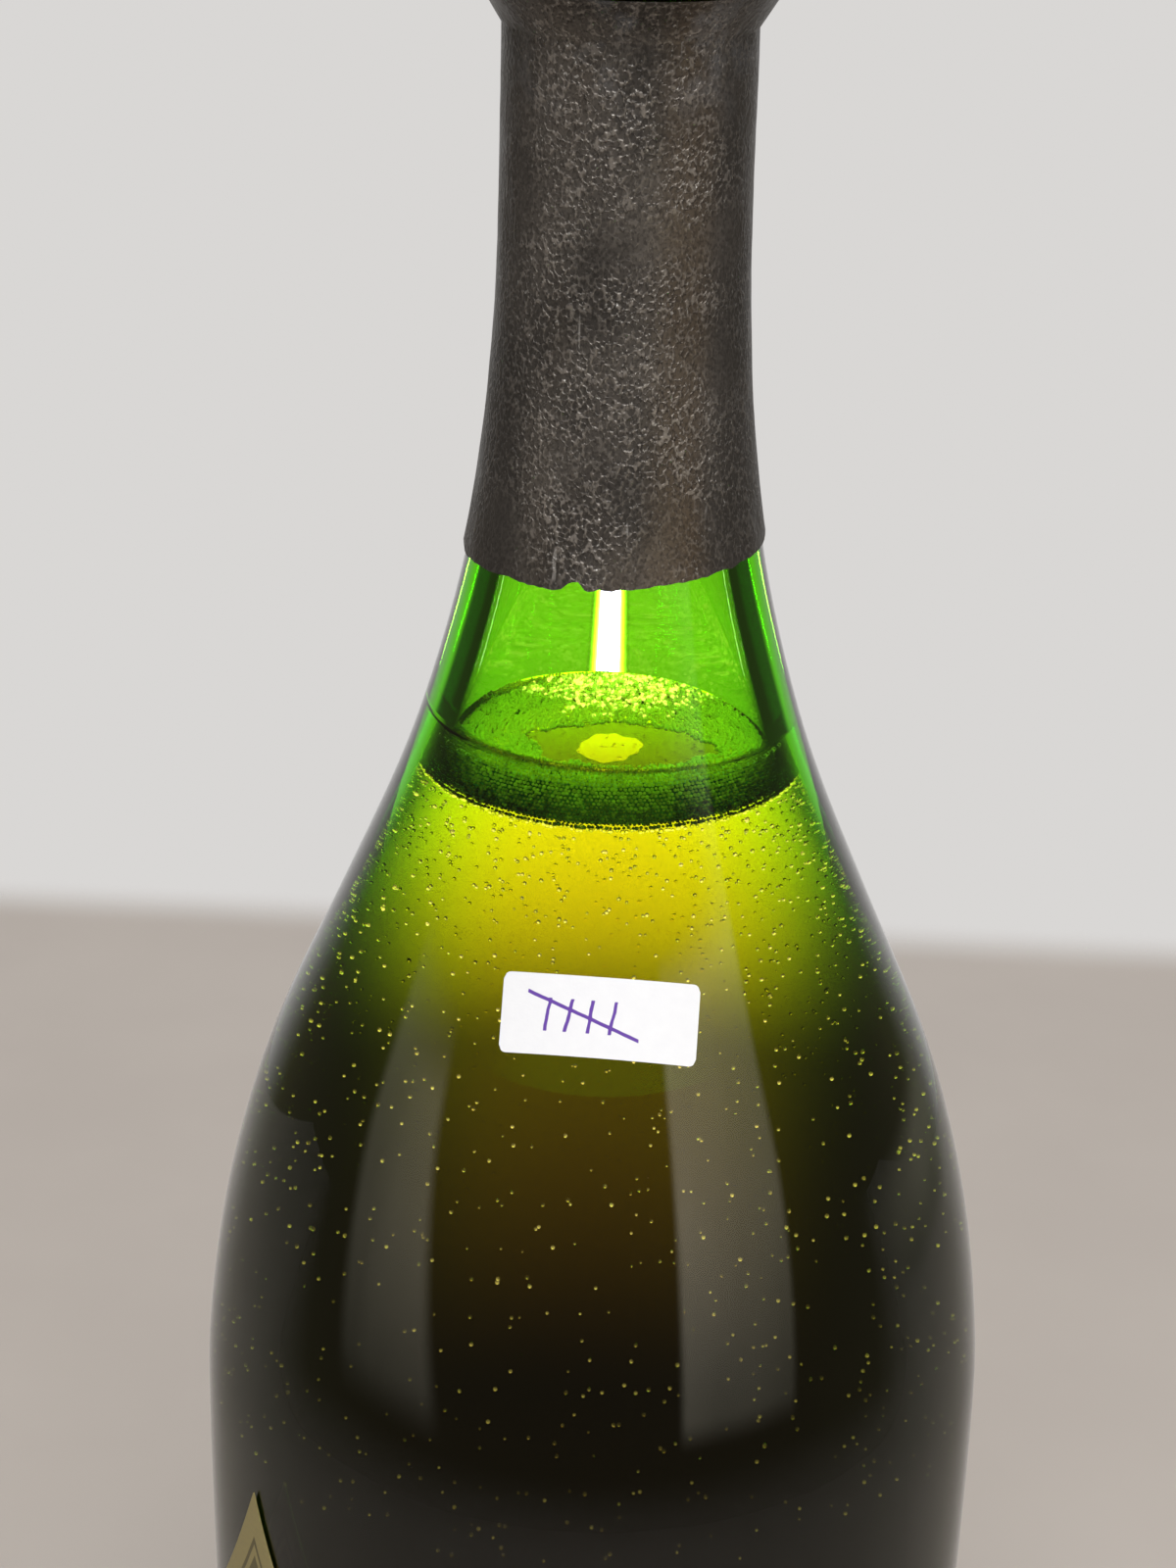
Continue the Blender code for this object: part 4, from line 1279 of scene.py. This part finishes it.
def make_loop(material):
    """The pulling loop: a twisted stem that opens into an eye."""
    root_radius = girdle_waist + GIRDLE_WIRE_RADIUS + SEAT_GAP
    stem_foot = girdle_height + LOOP_BEND
    stem_head = stem_foot + LOOP_STEM
    half = LOOP_WIDTH / 2
    strand = LOOP_WIRE_RADIUS
    spine = [Vector((0, -root_radius, girdle_height))]
    for angle in spread(0, math.pi / 2, 4):
        radius = cage_radius - LOOP_BEND * (1 - math.sin(angle))
        spine.append(Vector((0, -radius, stem_foot - LOOP_BEND * math.cos(angle))))
    spine.append(Vector((0, -cage_radius, stem_head)))
    path = smooth_path(spine, WIRE_STEP)
    strands = twisted(path, strand, LOOP_STEM / LOOP_TWISTS)
    eye = []
    for angle in spread(0, math.tau, 48)[1:-1]:
        across = half * math.sin(angle) * (1 - LOOP_EYE_TAPER * (1 + math.cos(angle)))
        up = (LOOP_LENGTH - LOOP_WIRE_RADIUS) * (1 - math.cos(angle)) / 2
        eye.append(on_circle(across / cage_radius, cage_radius, stem_head + up))
    right, left = strands
    if right[-1].x < left[-1].x:
        right, left = left, right
    whole = right + eye + left[::-1]
    add_wire("pull_loop", [whole], LOOP_WIRE_RADIUS, material, "loop", "cage_loop")


def make_cap():
    """The metal cap, dark with a gold rosette and a gold band."""
    finish = new_finish("cap_lacquer")
    x, y = finish.axes()[:2]
    radius = (x * x + y * y) ** 0.5
    petals = x.calculate("COSINE", x.calculate("ARCTAN2", x, y) * CAP_PETALS)
    star = (radius + petals * CAP_PETAL_DEPTH).rise(*CAP_STAR_EDGE)
    hole = radius.rise(*CAP_HOLE_EDGE)
    band = abs(radius - CAP_BAND_RADIUS).rise(*CAP_BAND_EDGE)
    gold = star - hole * star + band
    scuffs = finish.clouds(finish.coordinates(), 700, 4, 0.6)
    tone = finish.blend(gold, CAP_DARK, CAP_GOLD)
    surface = finish.surface(
        Base_Color=tone, Metallic=0.8, Roughness=scuffs * 0.3 + 0.2,
        Normal=finish.bump(gold + scuffs * 0.2, 0.0001, 0.7),
    )
    material = finish.finish(surface)
    boss = cap_radius - CAP_BOSS_INSET
    slope_end = boss + CAP_BOSS_RISE
    top = [(radius, CAP_BOSS_RISE) for radius in spread(0, boss, 20)]
    top += [(slope_end, 0)] + [(radius, 0) for radius in spread(slope_end, cap_radius, 6)[1:]]
    outline = [(radius, cap_top + rise) for radius, rise in top]
    outline += [(radius, cap_top + rise - CAP_THICKNESS) for radius, rise in top[::-1]]
    place_piece("cap_disc", turned(outline, 96), material, "cage", "cage_cap")


def cork_finish(name, light, dark, grain_scale, cells_scale):
    finish = new_finish(name)
    place = finish.coordinates()
    distance, chance = finish.cells(place, cells_scale)
    parts = finish.add("ShaderNodeSeparateColor", None, {"Color": chance})
    pits = finish.clouds(place, grain_scale, 5, 0.7)
    tone = finish.blend(parts["Red"], (*dark, 1), (*light, 1))
    pitted = finish.blend(pits.rise(0.38, 0.3), tone, PIT_COLOUR)
    surface = finish.surface(
        Base_Color=pitted, Roughness=0.85,
        Normal=finish.bump(pits + distance * cells_scale * 0.3, 0.00025, 0.8),
    )
    return finish.finish(surface)


def make_cork():
    """The cork with its mushroom head, and the two natural discs under it."""
    grains = cork_finish("pressed_cork", (0.62, 0.43, 0.25), (0.4, 0.25, 0.13), 1300, 620)
    stem_radius = bore_radius - SEAT_GAP
    low, high = (corner.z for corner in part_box("cork_body"))
    head_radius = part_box("cork_body")[1].x
    seat = mouth_height + SEAT_GAP
    widest = seat + (high - seat) * HEAD_WIDEST_SHARE
    top_edge = head_radius - HEAD_TOP_INSET
    foot = BEAD_RADIUS - HEAD_FOOT_INSET
    outline = [(radius, high) for radius in spread(0, top_edge, 16)]
    for angle in spread(math.pi / 2, 0, 18)[1:]:
        radius = top_edge + HEAD_TOP_INSET * math.cos(angle)
        outline.append((radius, widest + (high - widest) * math.sin(angle)))
    for angle in spread(0, math.pi / 2, 14)[1:]:
        radius = foot + (head_radius - foot) * math.cos(angle)
        outline.append((radius, widest - (widest - seat) * math.sin(angle)))
    outline += [(radius, seat) for radius in spread(foot, stem_radius, 6)[1:]]
    outline += [(stem_radius, height) for height in spread(seat, low, 30)[1:]]
    outline += [(radius, low) for radius in spread(stem_radius, 0, 10)[1:]]
    work = turned(outline, 128)
    for vertex in work.verts:
        if vertex.co.z > seat and vertex.co.z < high - GRAIN_HEIGHT:
            grain = abs(noise.noise(vertex.co * GRAIN_SCALE)) * GRAIN_SHARE
            vertex.co *= 1 - GRAIN_HEIGHT / head_radius * grain
    place_piece("cork_top", work, grains, "cork", "cork_body")
    natural = cork_finish("whole_cork", (0.66, 0.47, 0.28), (0.56, 0.38, 0.21), 800, 160)
    for name in ("cork_disc_lower", "cork_disc_upper"):
        low, high = (corner.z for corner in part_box(name))
        outline = [(radius, high) for radius in spread(0, stem_radius - DISC_CHAMFER, 10)]
        outline += [(stem_radius, high - DISC_CHAMFER), (stem_radius, low + DISC_CHAMFER)]
        outline += [(radius, low) for radius in spread(stem_radius - DISC_CHAMFER, 0, 10)]
        piece = name.replace("cork_disc", "natural_disc")
        place_piece(piece, turned(outline, 96), natural, "cork", name)


def paper_sheet(columns, rows, place):
    """A sheet of paper on the glass, with a UV in metres across it and up it.

    place() turns a share across, from -1 to 1, and a share up into a place and a UV.
    """
    work = bmesh.new()
    bmesh.ops.create_grid(work, x_segments=columns, y_segments=rows, size=1)
    layer = work.loops.layers.uv.new("sheet")
    work.verts.ensure_lookup_table()
    spots = [place(vertex.co.x, (vertex.co.y + 1) / 2) for vertex in work.verts]
    for face in work.faces:
        for loop in face.loops:
            loop[layer].uv = spots[loop.vert.index][1]
    for vertex, (spot, _) in zip(work.verts, spots):
        vertex.co = spot
    bmesh.ops.recalc_face_normals(work, faces=work.faces)
    middle = work.faces[:][len(work.faces) // 2]
    centre = middle.calc_center_median()
    if middle.normal.xy.dot(centre.xy) < 0:
        bmesh.ops.reverse_faces(work, faces=work.faces)
    bmesh.ops.solidify(work, geom=work.faces[:], thickness=-PAPER_THICKNESS)
    bmesh.ops.recalc_face_normals(work, faces=work.faces)
    return work


def label_top(across):
    """Height of the label's ogee gable, at a share of its half width from the middle."""
    side = min(abs(across), 1)
    spire = SPIRE_SHARE * (1 - side) ** 3
    arch = (1 - SPIRE_SHARE) * math.sqrt(1 - side**2)
    return LABEL_APEX_HEIGHT - LABEL_GABLE_HEIGHT * (1 - spire - arch)


def label_inset(across, height):
    """Distance from a point of the label to its edge, in metres."""
    half = LABEL_WIDTH / 2
    flat = Vector((across, height))
    distance = min(half - abs(across), height - LABEL_BOTTOM)
    for share in spread(-1, 1, 160):
        distance = min(distance, (flat - Vector((share * half, label_top(share)))).length)
    return max(distance, 0)


def label_finish():
    """Olive and gold paper: a double border, fine rules and a lattice of lozenges."""
    finish = new_finish("label_paper")
    across, up = finish.axes(finish.add("ShaderNodeUVMap", {"uv_map": "sheet"})["UV"])[:2]
    inset = finish.add("ShaderNodeAttribute", {"attribute_name": "inset"})["Fac"]
    fibres = finish.clouds(finish.coordinates((1, 1, 3)), 900, 4, 0.6)
    ground = finish.blend(fibres, *LABEL_OLIVES)
    gold = finish.blend(fibres, *LABEL_GOLDS)
    mark = inset.rise(*BORDER_EDGE) + abs(inset - BORDER_LINE_INSET).rise(*THICK_LINE)
    lozenge = abs(across) + abs(up - LOZENGE_HEIGHT)
    for slope in (across + up, across - up):
        off = abs(slope.calculate("PINGPONG", slope, LATTICE_STEP) - LATTICE_STEP / 2)
        mark = mark + off.rise(*LATTICE_LINE) * lozenge.rise(*LOZENGE_EDGE)
    for reach, line in LOZENGE_LINES:
        mark = mark + abs(lozenge - reach).rise(*line)
    for height, line in RULES:
        mark = mark + abs(up - height).rise(*line) * abs(across).rise(*RULE_REACH)
    colour = finish.blend(mark.rise(0.3, 0.7), ground, gold)
    surface = finish.surface(
        Base_Color=colour, Metallic=0.35, Roughness=fibres * 0.2 + 0.35,
        Normal=finish.bump(mark.rise(0.2, 0.8) + fibres * 0.3, 0.00006, 0.8),
    )
    return finish.finish(surface)


def make_label():
    half = LABEL_WIDTH / 2

    def place(across, up):
        top = label_top(across)
        past = max(abs(across) * half - (half - LABEL_CORNER), 0)
        foot = LABEL_BOTTOM + LABEL_CORNER - math.sqrt(max(LABEL_CORNER**2 - past**2, 0))
        height = foot + (top - foot) * up
        angle = LABEL_ANGLE + across * half / BODY_RADIUS
        return on_circle(angle, outer_radius(height) + SKIN_GAP, height), (across * half, height)

    work = paper_sheet(96, 80, place)
    layer = work.verts.layers.float.new("inset")
    for vertex in work.verts:
        across = (math.atan2(vertex.co.x, -vertex.co.y) - LABEL_ANGLE) * BODY_RADIUS
        vertex[layer] = label_inset(across, vertex.co.z)
    place_piece("body_label", work, label_finish(), "bottle", "front_label")


def sticker_finish():
    """White paper with a hand-drawn tally in violet ink."""
    finish = new_finish("sticker_paper")
    place = finish.add("ShaderNodeUVMap", {"uv_map": "sheet"})["UV"]
    wobble = finish.clouds(place, 500, 2)
    across, up = finish.axes(place)[:2]
    across = across + wobble * INK_WOBBLE
    slash = abs(up + across * SLASH_SLOPE + SLASH_DROP).rise(*SLASH_EDGE)
    ink = slash * abs(across + SLASH_SHIFT).rise(*SLASH_REACH)
    for middle, lean in STROKES:
        side = abs(across - middle - up * lean).rise(*STROKE_EDGE)
        ink = side * abs(up).rise(*STROKE_REACH) + ink
    paper = finish.blend(wobble, *STICKER_WHITES)
    colour = finish.blend(ink.rise(0.2, 0.9), paper, INK_COLOUR)
    surface = finish.surface(
        Base_Color=colour, Roughness=0.5, Specular_IOR_Level=0.4,
        Normal=finish.bump(finish.clouds(place, 2500, 3), 0.00003, 0.5),
    )
    return finish.finish(surface)


def make_sticker():
    stretch = outer_stretch(STICKER_CENTRE)
    half_width = STICKER_WIDTH / 2
    half_height = STICKER_HEIGHT / 2

    def place(across, up):
        along = across * half_width
        past = max(abs(along) - (half_width - STICKER_CORNER), 0)
        reach = half_height - STICKER_CORNER + math.sqrt(max(STICKER_CORNER**2 - past**2, 0))
        over = (2 * up - 1) * reach
        turned_along = along * math.cos(STICKER_TILT) - over * math.sin(STICKER_TILT)
        turned_over = along * math.sin(STICKER_TILT) + over * math.cos(STICKER_TILT)
        height = STICKER_CENTRE + STICKER_RISE + turned_over / stretch - STICKER_SAG * along**2
        angle = STICKER_ANGLE + turned_along / outer_radius(height)
        return on_circle(angle, outer_radius(height) + SKIN_GAP, height), (along, over)

    work = paper_sheet(80, 24, place)
    place_piece("shelf_sticker", work, sticker_finish(), "bottle", "lot_sticker")


make_camera()
make_world()
make_table()
make_lamp()
make_light_sleeve()
make_slit()
make_cards()
make_glass()
make_wine()
make_froth()
dark_foil = foil_finish()
make_sleeve(dark_foil)
make_hood(dark_foil)
make_cage()
make_cork()
make_label()
make_sticker()

bpy.context.scene.view_settings.view_transform = "Standard"
